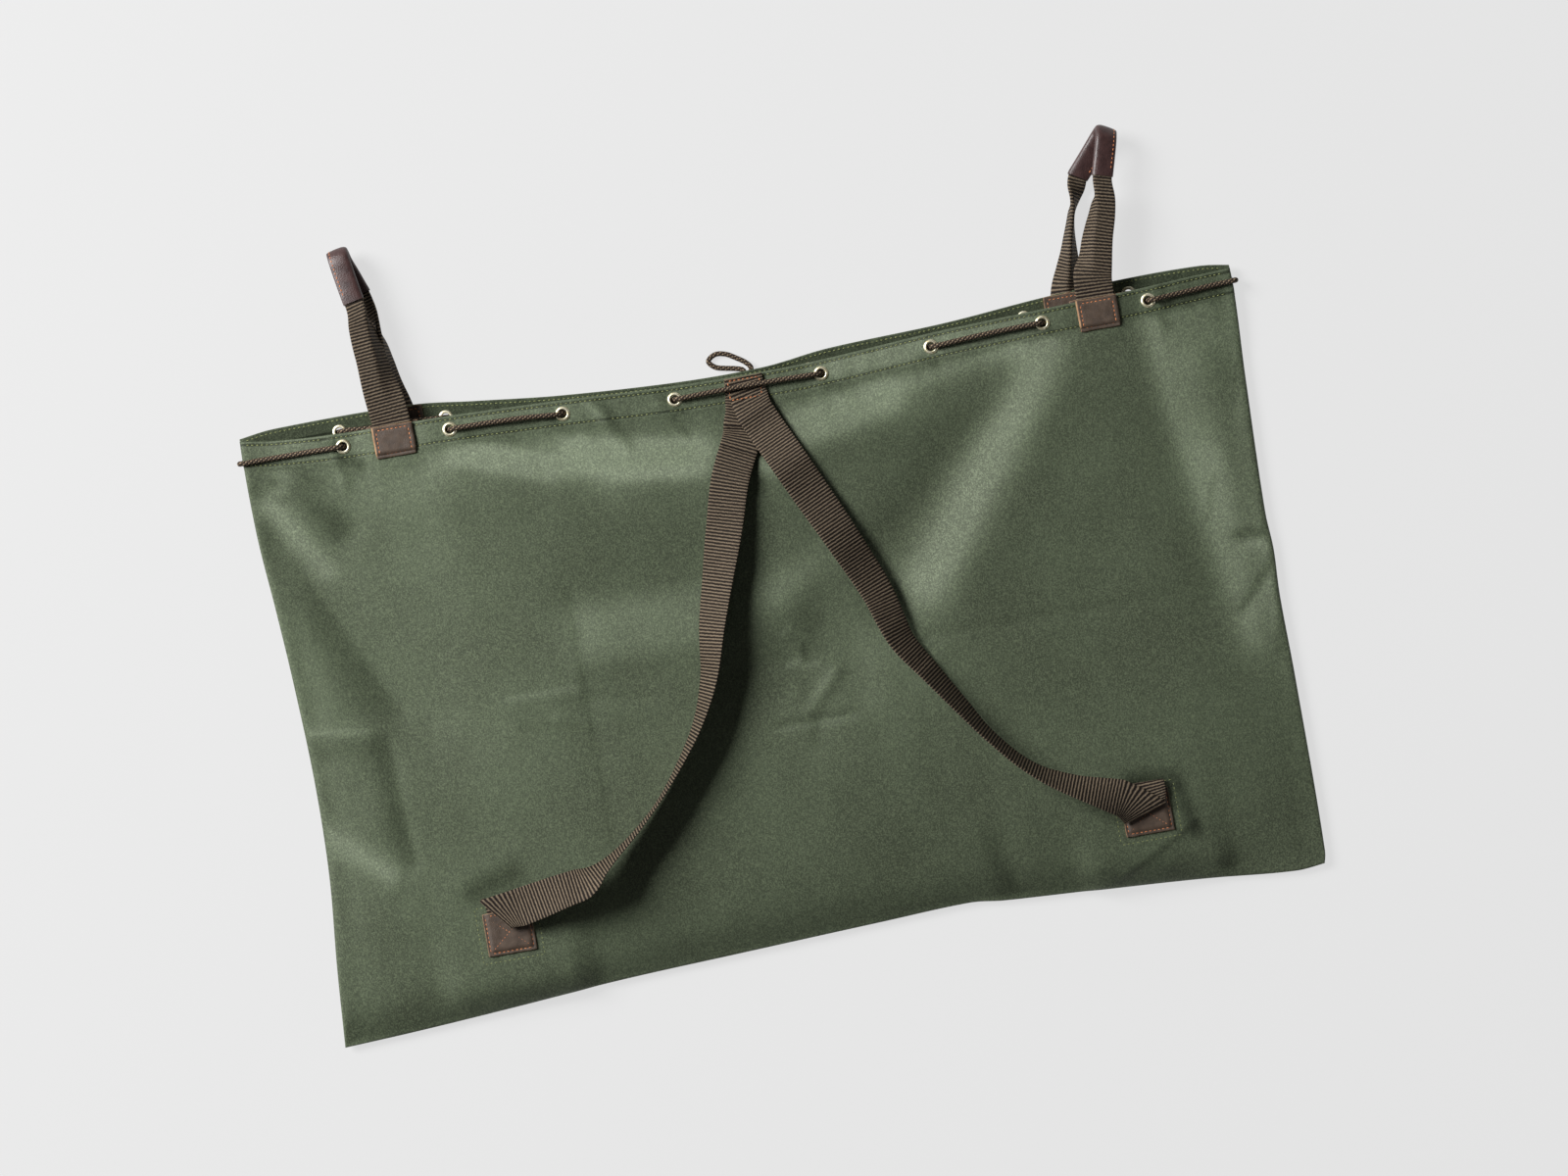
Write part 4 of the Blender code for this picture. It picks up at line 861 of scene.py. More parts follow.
# Stitches: one soft length of thread that dips into the cloth at both ends, copied along each row.
# The shape is radius and place along the thread, as shares of its thickness and length.
stitch = {"shape": ((0.15, -0.50), (0.425, -0.38), (0.5, 0.0), (0.425, 0.38), (0.15, 0.50)), "sides": 6,
          "dip": 0.30, "frontSunk": 0.12, "sunk": 0.10, "outline": 7, "hemReach": 533}
hemStitch = {"long": 2.9, "thick": 1.1, "pitch": 5.2}
leatherStitch = {"long": 2.9, "thick": 1.15, "pitch": 4.7}
crossStitch = {"long": 2.3, "thick": 0.75, "pitch": 3.9}
outlineStitch = {"long": 2.8, "thick": 0.95, "pitch": 5.0}


def makeStitchMaster():
    master = turnedRing("stitchMaster", stitch["shape"], stitch["sides"])
    master.data.transform(Matrix.Rotation(math.pi / 2, 4, "Y"))
    points = np.array([v.co[:] for v in master.data.vertices]) / mm
    faces = np.array([[*p.vertices] for p in master.data.polygons], object)
    bpy.data.objects.remove(master)
    return points, faces


stitchPoints, stitchFaces = makeStitchMaster()


# middles, headings and normals of the stitches along a path whose points carry normals
def stitchRow(path, normals, size):
    run = runOf(path)
    pitch, half = size["pitch"] * mm, size["long"] * mm / 2
    count = max(int(run[-1] // pitch), 1)
    at = (run[-1] - count * pitch) / 2 + pitch * (np.arange(count) + 0.5)
    ahead = unit(readAt(path, run, at + half) - readAt(path, run, at - half))
    normal = readAt(normals, run, at)
    return readAt(path, run, at), ahead, unit(normal - ahead * (normal * ahead).sum(1)[:, None]), size


def makeStitches(name, rows, material, slot):
    points, faces = [], []
    for middles, aheads, normals, size in rows:
        local = stitchPoints * (size["long"], size["thick"], size["thick"]) * mm
        local[:, 2] -= stitch["dip"] * mm * (2 * stitchPoints[:, 0]) ** 2
        for middle, *axes in zip(middles, aheads, np.cross(normals, aheads), normals):
            faces += [[len(points) + v for v in face] for face in stitchFaces]
            points.extend(middle + local @ axes)
    settlePiece(makeMesh(name, points, faces), slot, [material], 70)


def surfaceNormals(height, x, y):
    slopeX, slopeY = slopesOf(height, x, y, 2 * mm)
    return unit(np.stack([-slopeX, -slopeY, np.ones_like(slopeX)], -1))


def hemStitches():
    x = np.linspace(-stitch["hemReach"], stitch["hemReach"], 260) * mm
    frontSunk, sunk = stitch["frontSunk"] * mm, stitch["sunk"] * mm
    for side, height in (("front", frontTop), ("back", backBottom)):
        rows = []
        for down in stitchDowns:
            y = rimY(side, x) - down * mm
            normals, z = surfaceNormals(height, x, y), height(x, y)
            faces = [(z - frontSunk, normals)] if side == "front" else [
                (z + 2 * wallMesh["roll"] * mm + sunk, normals), (z - sunk, -normals)]
            rows += [stitchRow(np.stack([x, y, level], -1), normal, hemStitch) for level, normal in faces]
        makeStitches(f"hemStitches{side.capitalize()}", rows, hemThread, "coated_cloth")
    rows = []
    halfX, halfY = (s / 2 + stitch["outline"] * mm for s in strapPatch["size"])
    corners = np.array(((-1, -1), (1, -1), (1, 1), (-1, 1), (-1, -1))) * (halfX, halfY)
    for side in sides:
        for a, b in zip(corners + strapPatch[side], corners[1:] + strapPatch[side]):
            x, y = np.linspace(a, b, 12).T
            path = np.stack([x, y, frontTop(x, y) - sunk], -1)
            rows.append(stitchRow(path, surfaceNormals(frontTop, x, y), outlineStitch))
    makeStitches("reinforcementStitches", rows, hemThread, "coated_cloth")


hemStitches()
print("hem sewn")


# Webbing: shoulder straps and handles

webbing = {"width": 40 * mm, "thick": 1.4 * mm, "across": 12, "edge": 0.45 * mm, "edgeHigh": 0.26}
# free run of each shoulder strap from the mouth down, in mm: middle line, lift over the cloth, tip in
# degrees
leftStrapRun = (
    (1, 259, 3.4, 0), (-2.2, 250, 5.6, 0), (-3, 247, 6.8, 0), (-3.6, 244.6, 2.4, 0), (-4.4, 241, 2.0, 0),
    (-7, 233, 3.8, 0), (-25, 195, 3.6, 6), (-41, 143, 3.6, 18), (-57, 92, 3.6, 36),
    (-72, 42, 3.4, 48), (-85, -12, 3.4, 64), (-106, -59, 3.4, 76), (-132, -97, 3.6, 82),
    (-161, -132, 4.2, 86), (-192, -161, 6.5, 84), (-214, -178, 10, 80), (-231, -190, 14, 70),
    (-245, -199, 18, 50), (-256, -203, 18, 36), (-276, -206.5, 16.5, 30),
    (-303, -212, 13.5, 19), (-326, -216.5, 11.5, 10))
rightStrapRun = (
    (13, 260, 6.4, 8), (25, 233, 6.8, 9), (53, 172, 7, 12), (78, 118, 10, 22), (108, 48, 12.5, 34),
    (117, 16, 11, 40), (125, -8, 7, 48), (150, -48, 3.6, 58), (177, -90, 3.4, 66), (196, -119, 3.4, 72),
    (225, -154, 3.6, 73), (247, -173, 5, 69), (265, -184, 7, 62), (284, -194, 9, 54),
    (304, -203, 11, 40), (324, -212, 12, 20))
# how each strap folds over and goes under its patch: outer and inner edge from the patch's middle
leftStrapFold = (
    (23.8, 38.3, 11.6, -4.4, 4.5, 11.6), (24.6, 37.6, 10.2, -3.6, 3.8, 10.2),
    (23.8, 38.3, 8.8, -4.4, 4.5, 8.8), (23.4, 38.8, 7.8, -13, 24, 7.8), (23.2, 39, 7.0, -18, 34.4, 7.0),
    (22.6, 39.4, 5.6, -19.4, 36.4, 5.6), (21.8, 38.6, 3.9, -20.2, 36.2, 3.9),
    (21.2, 36.4, 2.5, -20.2, 34.2, 2.5), (20.6, 33, 1.5, -20, 31, 1.5), (20, 27, 1.0, -20, 25, 1.0),
    (20, -16, 1.0, -20, -16, 1.0))
rightStrapFold = (
    (20.1, 8.7, 11.0, -26.3, -6.6, 11.0), (20.4, 7.7, 9.6, -26, -7.6, 9.6),
    (20.1, 8.7, 8.2, -26.3, -6.6, 8.2), (21.5, 14, 7.6, -24.5, 2, 7.6),
    (23, 21, 7.2, -22, 13, 7.2), (23, 27.5, 6.6, -20.5, 23.5, 6.9),
    (22.5, 31.6, 5.0, -20.2, 30, 5.8), (21.6, 31.8, 3.2, -20, 32.4, 3.8),
    (20.8, 28.6, 1.8, -20, 29.6, 2.0), (20, 22, 1.0, -20, 23, 1.0), (20, -16, 1.0, -20, -16, 1.0))
strapRun = {"left": leftStrapRun, "right": rightStrapRun}
strapFold = {"left": leftStrapFold, "right": rightStrapFold}
# how each strap turns to its own slant under the box of stitches: drop, lift and shift in mm, turn in degrees
strapSlant = {"left": ((0, 0, 0, 1), (14, 0, 1.0, 6), (26, 0, 2.8, 12)),
              "right": ((0, 0, 0, 1), (14, 0, 1.2, 9), (26, 0.7, 3.6, 17))}


# where the straps leave the mouth, one over the other, and the box of stitches over them, in mm
rootBox = {"x": 6.5, "down": 1.5, "seat": 10, "half": 17, "top": 3, "low": 23.5, "sunk": 0.15, "rise": 0.7,
           "riseRun": (14, 26)}


def strapRoot(side):
    x = rootBox["x"] * mm
    y = float(rimY("front", stand["mouthMiddle"])) - rootBox["down"] * mm
    above = stand["gap"] + webbing["thick"] / 2
    if side == "right":
        above += webbing["thick"] + stand["gap"]
    return x, y, faceAt("front", x, y - rootBox["seat"] * mm) + above


# outer and inner edge of a strap, from the mouth to under its patch
def strapEdges(side):
    out = -1 if side == "left" else 1
    half = webbing["width"] / 2
    x, y, z = strapRoot(side)
    pairs = []
    for drop, lift, shift, turn in strapSlant[side]:
        wide, deep = half * math.cos(math.radians(turn)), half * math.sin(math.radians(turn))
        middle, level, high = x + out * shift * mm, y - drop * mm, z + lift * mm
        pairs.append([middle + out * wide, level + deep, high, middle - out * wide, level - deep, high])
    rows = evenSteps(smoothThrough(strapRun[side], 12), 220, 2)
    places, lift, tilt = rows[:, :2] * mm, rows[:, 2] * mm, np.radians(rows[:, 3])
    ahead = unit(np.gradient(places, axis=0))
    across = np.stack([ahead[:, 1], -ahead[:, 0]], -1) * out
    outer, inner = (places + way * across * (half * np.cos(tilt))[:, None] for way in (-1, 1))
    rise = webbing["width"] * np.sin(tilt)
    ground = [frontTop(*p.T) for p in (outer, (outer + inner) / 2, inner)]
    low = np.maximum(ground[0], ground[1] - rise / 2) + lift
    low = np.where(rows[:, 3] < 1, np.maximum.reduce(ground) + lift, low)
    pairs += np.column_stack([outer, low, inner, low + rise]).tolist()
    cx, cy = strapPatch[side]
    seat = np.array((cx, cy, faceAt("front", cx, cy)) * 2)
    pairs += (seat + np.array(strapFold[side]) * ((out, 1, 1) * 2) * mm).tolist()
    return smoothThrough(pairs, 5)


# a closed strip: sheets of middle points and normals, rows along it and columns across it
def makeStrip(name, middles, normals, along, across):
    edge, thick = webbing["edge"], webbing["thick"]

    def rounded(at, beside, sign):
        way = unit(middles[:, at] - middles[:, beside])
        return (middles[:, at] + way * edge + normals[:, at] * (sign * webbing["edgeHigh"] * thick))[:, None]

    over, under = middles + normals * thick / 2, middles - normals * thick / 2
    ring = np.concatenate([over, rounded(-1, -2, 1), rounded(-1, -2, -1), under[:, ::-1],
                           rounded(0, 1, -1), rounded(0, 1, 1)], 1)
    last, first = across[-1] + edge, across[0] - edge
    around = np.r_[across, last, last, across[::-1], first, first, across[0]]
    makeTube(name, ring, along, around, "webbing", webbingMaterial)


# a closed skin through rings of points, with its length and its way round as the texture's place
def makeTube(name, rings, along, around, slot, material):
    rows, count = rings.shape[:2]
    quads = gridFaces(rows, count, closedColumns=True)
    a, b = (np.repeat(ends, count) for ends in (along[:-1], along[1:]))
    low, high = (np.tile(ends, rows - 1) for ends in (around[:-1], around[1:]))
    uv = [np.stack([a, low, a, high, b, high, b, low], -1).ravel()]
    caps = [np.arange(count)[::-1], np.arange(count)]
    for at, cap in zip((along[0], along[-1]), caps):
        uv.append(np.column_stack([np.full(count, at), around[cap]]).ravel())
    faces = quads.tolist() + [caps[0].tolist(), (caps[1] + (rows - 1) * count).tolist()]
    piece = makeMesh(name, rings, faces, np.concatenate(uv))
    faceOutwards(piece)
    settlePiece(piece, slot, [material], 60, nodeOf(piece))
    print(name, "length", round(float(along[-1]), 3))


def makeStrap(side):
    edges = strapEdges(side)
    outer, inner = edges[:, :3], edges[:, 3:]
    middle = (outer + inner) / 2
    along, steps = runOf(middle), unit(np.diff(middle, axis=0))
    ahead = np.concatenate([steps[:1], steps]) + np.concatenate([steps, steps[-1:]])
    normal = unit(np.cross(ahead, inner - outer))
    share = np.linspace(0, 1, webbing["across"])
    middles = outer[:, None] + (inner - outer)[:, None] * share[:, None]
    normals = np.repeat(normal[:, None], webbing["across"], 1)
    makeStrip("shoulderStrap" + side.capitalize(), middles, normals, along, (share - 0.5) * webbing["width"])


for side in sides:
    makeStrap(side)
print("straps made")


# Handle loops from the front wall to the back wall, in mm: middle line, twist in degrees, share
# folded. The half away from the sewn edge goes under, and the other stays flat on top.
handle = {"spine": 1.6 * mm, "bend": 2.45 * mm, "foldAngle": 88, "stations": 170, "frontEnd": (28, 12, -4),
          "backEnd": ((-4, 0.4), (12, 0.05), (28, 0)), "unwindFrom": 0.14, "unwindTo": 0.86}
leftHandleRun = (
    (-374, 338, 37.5, 3, 0.03), (-376.8, 363, 37.2, 20, 0.23), (-378.5, 384, 36.8, 28, 0.32),
    (-380.8, 405, 36.2, 33, 0.38), (-383.2, 428, 35.2, 46, 0.52), (-388.5, 449, 34, 88, 0.99),
    (-392, 468, 33, 90, 1),
    (-395, 486, 32.2, 90, 1), (-396.5, 496, 31.6, 90, 1), (-397.5, 503, 28.6, 90, 1), (-398, 506, 22, 90, 1),
    (-397.5, 503, 15.4, 90, 1), (-396, 496, 12.4, 90, 1), (-390, 480, 10.8, 90, 1), (-385, 466, 10.2, 90, 1),
    (-382, 458, 10, 90, 0.985), (-377.5, 441, 11.5, 108, 0.96), (-372.3, 424, 13.5, 152, 0.96),
    (-369, 405, 14.5, 177, 0.92), (-368, 384, 14, 180, 0.8), (-368, 362, 11, 180, 0.64), (-368, 348, 8, 180, 0.48))
rightHandleRun = (
    (393, 340, 37.5, 3, 0.03), (397.8, 358, 37.4, 21, 0.27), (403.3, 380, 37, 29, 0.35),
    (411.2, 404, 36, 38, 0.43), (416.4, 424, 35.2, 50, 0.57), (421.5, 444, 34, 88, 0.99), (427, 463, 33.2, 90, 1),
    (431.5, 479, 32.4, 90, 1), (433.5, 487, 30, 90, 1), (434.5, 492, 24.5, 90, 1), (433, 491, 18, 90, 1),
    (429, 486.5, 13.4, 90, 1), (421, 477, 11.4, 90, 1), (409, 463, 10.8, 90, 1), (402, 455, 10.6, 90, 1),
    (397.5, 449.5, 10.5, 90, 0.99), (393.5, 440, 11, 114, 0.96), (389.8, 428, 12, 154, 0.97),
    (386, 416, 13, 176, 0.97), (382, 402, 13.5, 180, 0.94), (378, 386, 13.5, 180, 0.86),
    (374.3, 368, 12, 180, 0.74),    (371, 352, 8.5, 180, 0.58))
handleRun = {"left": leftHandleRun, "right": rightHandleRun}


def handleGround(side, wall):
    x = handleAt[wall][side == "right"]
    y = float(rimY(wall, x))
    return x, y, faceAt(wall, x, y - 10 * mm)


# stations of a handle: place, sideways axis, upward axis, share folded
def handleStations(side):
    sign = -1 if side == "left" else 1
    above = stand["gap"] + webbing["thick"] / 2
    front, back = (np.array(handleGround(side, wall)) / mm for wall in ("front", "back"))
    front[2] += above / mm
    back[2] -= above / mm
    knots = [(front[0], front[1] - d, front[2], 0, 0) for d in handle["frontEnd"]]
    knots += handleRun[side]
    knots += [(back[0], back[1] - d, back[2], 180, fold) for d, fold in handle["backEnd"]]
    rows = evenSteps(smoothThrough(knots, 10, slice(0, 3)), handle["stations"], 3)
    places, twists, folds = rows[:, :3] * mm, np.radians(rows[:, 3]), np.clip(rows[:, 4], 0, 1)
    tangents = [Vector(t) for t in unit(np.gradient(places, axis=0))]
    across = [Vector((1, 0, 0))]
    for before, after in zip(tangents, tangents[1:]):
        carried = before.rotation_difference(after) @ across[-1]
        across.append((carried - after * carried.dot(after)).normalized())
    wanted = Vector((-1 if across[-1].x < 0 else 1, 0, 0))
    error = across[-1].angle(wanted)
    if across[-1].cross(wanted).dot(tangents[-1]) < 0:
        error = -error
    unwound = error * smoothStep(np.linspace(0, 1, len(places)), handle["unwindFrom"], handle["unwindTo"])
    stations = []
    for place, twist, fold, tangent, level, more in zip(places, twists, folds, tangents, across, unwound):
        sideways = Matrix.Rotation((math.pi - twist) * sign + more, 3, tangent) @ level
        stations.append((place, np.array(sideways), np.array(sideways.cross(tangent)), fold))
    return stations


# the webbing's cross section when so much of it is folded: place across, x, y and the normal's x, y
def foldedSection(fold):
    half, bend = webbing["width"] / 2, handle["bend"]
    fullAngle = math.radians(handle["foldAngle"]) * fold
    s = np.r_[np.linspace(0, bend, 5), np.linspace(bend, half, 7)[1:]]
    angle = fullAngle * np.clip(s / bend, 0, 1)
    middle = (angle[1:] + angle[:-1]) / 2
    x, y = (np.r_[0, np.cumsum(turned(middle) * np.diff(s))] for turned in (np.cos, np.sin))
    s, x, y, tilt = (np.r_[sign * v[:0:-1], v] for sign, v in ((-1, s), (-1, x), (1, y), (-1, angle)))
    drop = (half - handle["spine"]) / 2 * math.sin(fullAngle)
    return s, x, y - drop, -np.sin(tilt), np.cos(tilt)


def makeHandle(side):
    stations = handleStations(side)
    middles, normals = [], []
    for place, sideways, up, fold in stations:
        across, x, y, normalX, normalY = foldedSection(fold)
        middles.append(place + x[:, None] * sideways + y[:, None] * up)
        normals.append(normalX[:, None] * sideways + normalY[:, None] * up)
    along = runOf(np.array([s[0] for s in stations]))
    makeStrip("handleWebbing" + side.capitalize(), np.array(middles), np.array(normals), along, across)
    return stations


# Leather grips, wrapped round the folded webbing and sewn along its open edges: half widths in
# mm across the grip, from the rounded side to the sewn edge, and where its stitches run
grip = {"wall": 1.5, "folded": 0.985, "profile": (
    (-11.4, 0.0), (-11.2, 1.4), (-10.4, 2.8), (-8.6, 3.9), (-6, 4.5), (-2, 4.7),
    (2, 4.7), (6, 4.5), (9, 4.1), (10.6, 3.8), (11.4, 3.4), (11.6, 2.9)),
        "seam": 8.2, "seamOut": 4.2, "seamEnds": 3, "innerWide": 0.91, "thinFrom": 2.4, "thinShare": 0.75}


def makeGrip(side, stations):
    held = [s[:3] for s in stations if s[3] > grip["folded"]]
    upper = np.array(grip["profile"]) * mm
    ring = np.concatenate([upper * (1, -1), upper[:0:-1]])           # along the width, across it
    inner = ring * (grip["innerWide"], 1) - np.sign(ring) * (0, grip["wall"] * mm)
    thin = abs(ring[:, 1]) <= grip["thinFrom"] * mm
    inner[thin, 1] = grip["thinShare"] * ring[thin, 1]
    outside, inside = (np.array([place + shape[:, 1:] * sideways + shape[:, :1] * up
                                 for place, sideways, up in held]) for shape in (ring, inner))
    # one skin: down the outside, round the end, back up the inside, and round the other end
    skin = np.concatenate([outside, inside[::-1]])
    name = "handleGrip" + side.capitalize()
    piece = makeMesh(name, skin, gridFaces(*skin.shape[:2], True, True).tolist())
    faceOutwards(piece)
    settlePiece(piece, "grip_leather", [gripMaterial], 50, nodeOf(piece))
    rows = []
    for face in (-1, 1):
        lines = [place + (up * grip["seam"] + sideways * face * grip["seamOut"]) * mm
                 for place, sideways, up in held]
        normals = [sideways * face for _place, sideways, _up in held]
        seam = slice(grip["seamEnds"], -grip["seamEnds"])
        rows.append(stitchRow(np.array(lines[seam]), np.array(normals[seam]), leatherStitch))
    makeStitches("gripStitches" + side.capitalize(), rows, leatherThread, "grip_leather")
    print(name, "length", round(float(runOf(np.array([s[0] for s in held]))[-1]), 3))


for side in sides:
    makeGrip(side, makeHandle(side))
print("handles made")


# Leather patches, cut by hand, with a stepped channel where one passes over the webbing, in mm
patch = {name: np.array(value) * mm for name, value in {
    "thick": 2.0, "Outer": (42.5, 33.5), "Inner": (56, 34), "inset": 3.8, "strapInset": 2.9, "crossIn": 3,
    "groove": 0.3, "grooveWide": 0.9, "curl": 0.35, "worn": 0.6, "rimWide": 1.2, "waveHigh": 0.25, "waveOut": 0.45,
    "lowest": 0.12, "channelFade": 2.4, "channelFrom": 3.5, "channelTo": 6, "bevel": 0.3, "sunk": 0.2}.items()}


# height of a patch's underside over the cloth, where u and v are measured from its middle
def patchRise(u, v, size, channel):
    if not channel:
        return np.full(np.shape(u), stand["gap"])
    over = 1 - smoothStep(abs(u), channel, channel + patch["channelFade"])
    over = over * smoothStep(v + size[1] / 2, patch["channelFrom"], patch["channelTo"])
    return stand["gap"] + (webbing["thick"] + stand["gap"]) * over


def makePatch(name, middle, size, ground, face, channel, cross=False):
    cx, cy = middle
    bpy.ops.object.select_all(action="DESELECT")
    bpy.ops.mesh.primitive_grid_add(x_subdivisions=34, y_subdivisions=26, size=1, location=(cx, cy, 0))
    piece = bpy.context.object
    piece.name = name
    piece.scale = (size[0], size[1], 1)
    bpy.ops.object.transform_apply(location=True, rotation=True, scale=True)
    places = np.array([v.co[:] for v in piece.data.vertices])
    u, v = places[:, 0] - cx, places[:, 1] - cy
    halfX, halfY = size[0] / 2, size[1] / 2
    toEdge = np.minimum(halfX - abs(u), halfY - abs(v))
    inset = patch["strapInset"] if cross else patch["inset"]
    wave = ruffle(u, v, 140, 140, cx * 31)
    height = patchRise(u, v, size, channel)
    height = height - patch["groove"] * np.exp(-((toEdge - inset) / patch["grooveWide"]) ** 2)
    height = height + wave * patch["waveHigh"] + patch["curl"] * (abs(u * v) / (halfX * halfY)) ** 3
    out = wave * patch["waveOut"] * np.exp(-toEdge / patch["rimWide"])
    places[:, 0] += np.sign(u) * out
    places[:, 1] += np.sign(v) * out
    places[:, 2] = ground + face * np.maximum(height, patch["lowest"])
    piece.data.vertices.foreach_set("co", places.ravel())
    thick = piece.modifiers.new("leather", "SOLIDIFY")
    thick.thickness = patch["thick"]
    thick.offset = face
    thick.material_offset_rim = 1
    soft = piece.modifiers.new("worn edge", "BEVEL")
    soft.width = patch["bevel"]
    soft.segments = 2
    soft.limit_method = "ANGLE"
    soft.angle_limit = math.radians(60)
    piece.data.materials.append(patchMaterial)
    piece.data.materials.append(rawEdgeMaterial)
    applyModifiers(piece)
    # the rim shows the raw leather's own pale colour; the band along the left and upper edges, the sides facing the
    # key light, gets it too as a painted highlight
    slots = [p.material_index or p.center.x < cx - halfX + patch["worn"] or p.center.y > cy + halfY - patch["worn"]
             for p in piece.data.polygons]
    settlePiece(piece, "patch_leather", [patchMaterial, rawEdgeMaterial], 50, nodeOf(piece))
    piece.data.polygons.foreach_set("material_index", np.array(slots, int))
    insetX, insetY = halfX - inset, halfY - inset
    lines = [(-insetX, -insetY, insetX, -insetY, leatherStitch), (-insetX, insetY, insetX, insetY, leatherStitch),
             (-insetX, -insetY, -insetX, insetY, leatherStitch), (insetX, -insetY, insetX, insetY, leatherStitch)]
    if cross:
        crossX, crossY = insetX - patch["crossIn"], insetY - patch["crossIn"]
        lines += [(-crossX, way * -crossY, crossX, way * crossY, crossStitch) for way in (1, -1)]
    rows = []
    for x0, y0, x1, y1, kind in lines:
        u, v = np.linspace(x0, x1, 30), np.linspace(y0, y1, 30)
        level = ground + face * (patchRise(u, v, size, channel) + patch["thick"] - patch["sunk"])
        normals = np.tile((0.0, 0.0, float(face)), (30, 1))
        rows.append(stitchRow(np.stack([cx + u, cy + v, level], -1), normals, kind))
    makeStitches(name + "Stitches", rows, leatherThread, "patch_leather")


def makePatches():
    channel = webbing["width"] / 2 + stand["gap"]
    for side in sides:
        label, seat = side.capitalize(), strapPatch[side]
        makePatch("strapPatch" + label, seat, strapPatch["size"], faceAt("front", *seat), 1, channel, cross=True)
        for wall, face, outerShift, innerShift in (("front", 1, 0, 1.5), ("back", -1, -2, -2)):
            x, y, ground = handleGround(side, wall)
            under = ground - face * stand["hemLayer"]
            for layer, shift, level, way, free in (("Outer", outerShift, ground, face, channel),
                                                   ("Inner", innerShift, under, -face, 0)):
                size = patch[layer]
                makePatch(f"handlePatch{wall.capitalize()}{layer}{label}", (x, y - size[1] / 2 + shift * mm),
                          size, level, way, free)


makePatches()
print("patches made")


# Box of stitches that holds both straps at the mouth
def strapRootStitches():
    x, y, z = strapRoot("right")
    top = z + webbing["thick"] / 2 - rootBox["sunk"] * mm
    left, right = (x + way * rootBox["half"] * mm for way in (-1, 1))
    high, low = y - rootBox["top"] * mm, y - rootBox["low"] * mm
    rows = []
    for ax, ay, bx, by in ((left, high, right, high), (left, low, right, low), (left, low, left, high),
                           (right, low, right, high)):
        path = np.linspace((ax, ay, top), (bx, by, top), 12)
        path[:, 2] += rootBox["rise"] * mm * between(y - path[:, 1], rootBox["riseRun"])
        rows.append(stitchRow(path, np.tile((0.0, 0.0, 1.0), (12, 1)), leatherStitch))
    makeStitches("strapRootStitches", rows, leatherThread, "webbing")


strapRootStitches()


# Drawcord, laced through the eyelets: wall, eyelet and whether it goes in there

cord = {"thick": 5.5 * mm, "clear": 5.0 * mm, "steep": math.radians(80), "insideHandle": 6.6 * mm,
        "edgeStand": 3.4 * mm, "sides": 14, "knot": np.array((6, 297, 6.4)) * mm, "ring": 1.9 * mm,
        "knotTurns": 2.3, "knotStart": 0.4, "knotSize": np.array((9.6, 4.9, 3.3)) * mm,
        "underShares": (0.3, 0.7), "overShares": (0.34, 0.66), "overShift": 0.8 * mm, "handleSpan": 0.6,
        "leaves": np.array(((-9.5, -1, 0), (-22, -2, -0.5))) * mm,
        "returns": np.array(((24, -2, -0.5), (9.5, -1, 0))) * mm}
# the cord round the bag's edge, in mm: where it crosses the seam, how far it sinks over the front,
# and by distance in from the seam its place under the bag and its lift over the front
edgeRun = {"seamAt": 302, "left": (302, 0.9), "right": (311, 6.2), "under": ((52, 11, 2.9), (16, 3, 3.0)),
           "over": ((16, 3.6), (45, 4.2), (75, 4.6)), "dip": (1, 0.5)}
lacing = [("back", n, n % 2 == 1) for n in (3, 2, 1, 0)] + [("front", n, n % 2 == 0) for n in range(8)]
lacing += [("back", n, n % 2 == 1) for n in (7, 6, 5, 4)]
bowLoop = ((8.6, 303.4, 6.2), (8.3, 307.8, 5.4), (0, 311.0, 4.2), (-10.7, 313.2, 3.4), (-21.3, 316.4, 2.9),
           (-27.2, 323.6, 2.8), (-19, 329.6, 2.8), (-8, 328.3, 2.8), (2.7, 322.3, 3.2), (12, 315.7, 4.4),
           (17, 309, 5.4), (15.4, 304.0, 6.2))
hiddenLoop = ((13.8, 290.0, 8.4), (24, 284.5, 6.4), (37, 281, 4.6), (48, 275, 3.6), (52, 268, 3.4),
              (45, 263, 3.2), (34, 266, 3.0), (21, 277, 2.9), (10.2, 290.6, 3.0))
cordEnds = {
    "left": ((-0.5, 291.3, 6.0), (-6, 284, 4.6), (-12, 275, 3.4), (-15, 265, 3.2), (-16, 256, 3.2)),
    "right": ((5.2, 289.2, 6.0), (4, 281, 4.6), (4, 271, 3.4), (6, 262, 3.2), (4, 254, 3.2)),
}


def cordThrough(side, at, goesIn, heading):
    x, y, z = eyeletPlace(side, at)
    out = 1 if side == "front" else -1
    middle = z - out * stand["hemLayer"] / 2
    steep = cord["steep"]
    radius = (stand["hemLayer"] / 2 + cord["clear"]) / (1 - math.cos(steep))
    bends = [(radius * (math.sin(steep) - math.sin(turn)), radius * (math.cos(turn) - math.cos(steep)))
             for turn in (0.0, 0.55 * steep)]
    way = out if goesIn else -out
    before, after = ([(x + sign * heading * run, y, middle - sign * way * high) for run, high in bends]
                     for sign in (-1, 1))
    return before + [(x, y, middle)] + after[::-1]


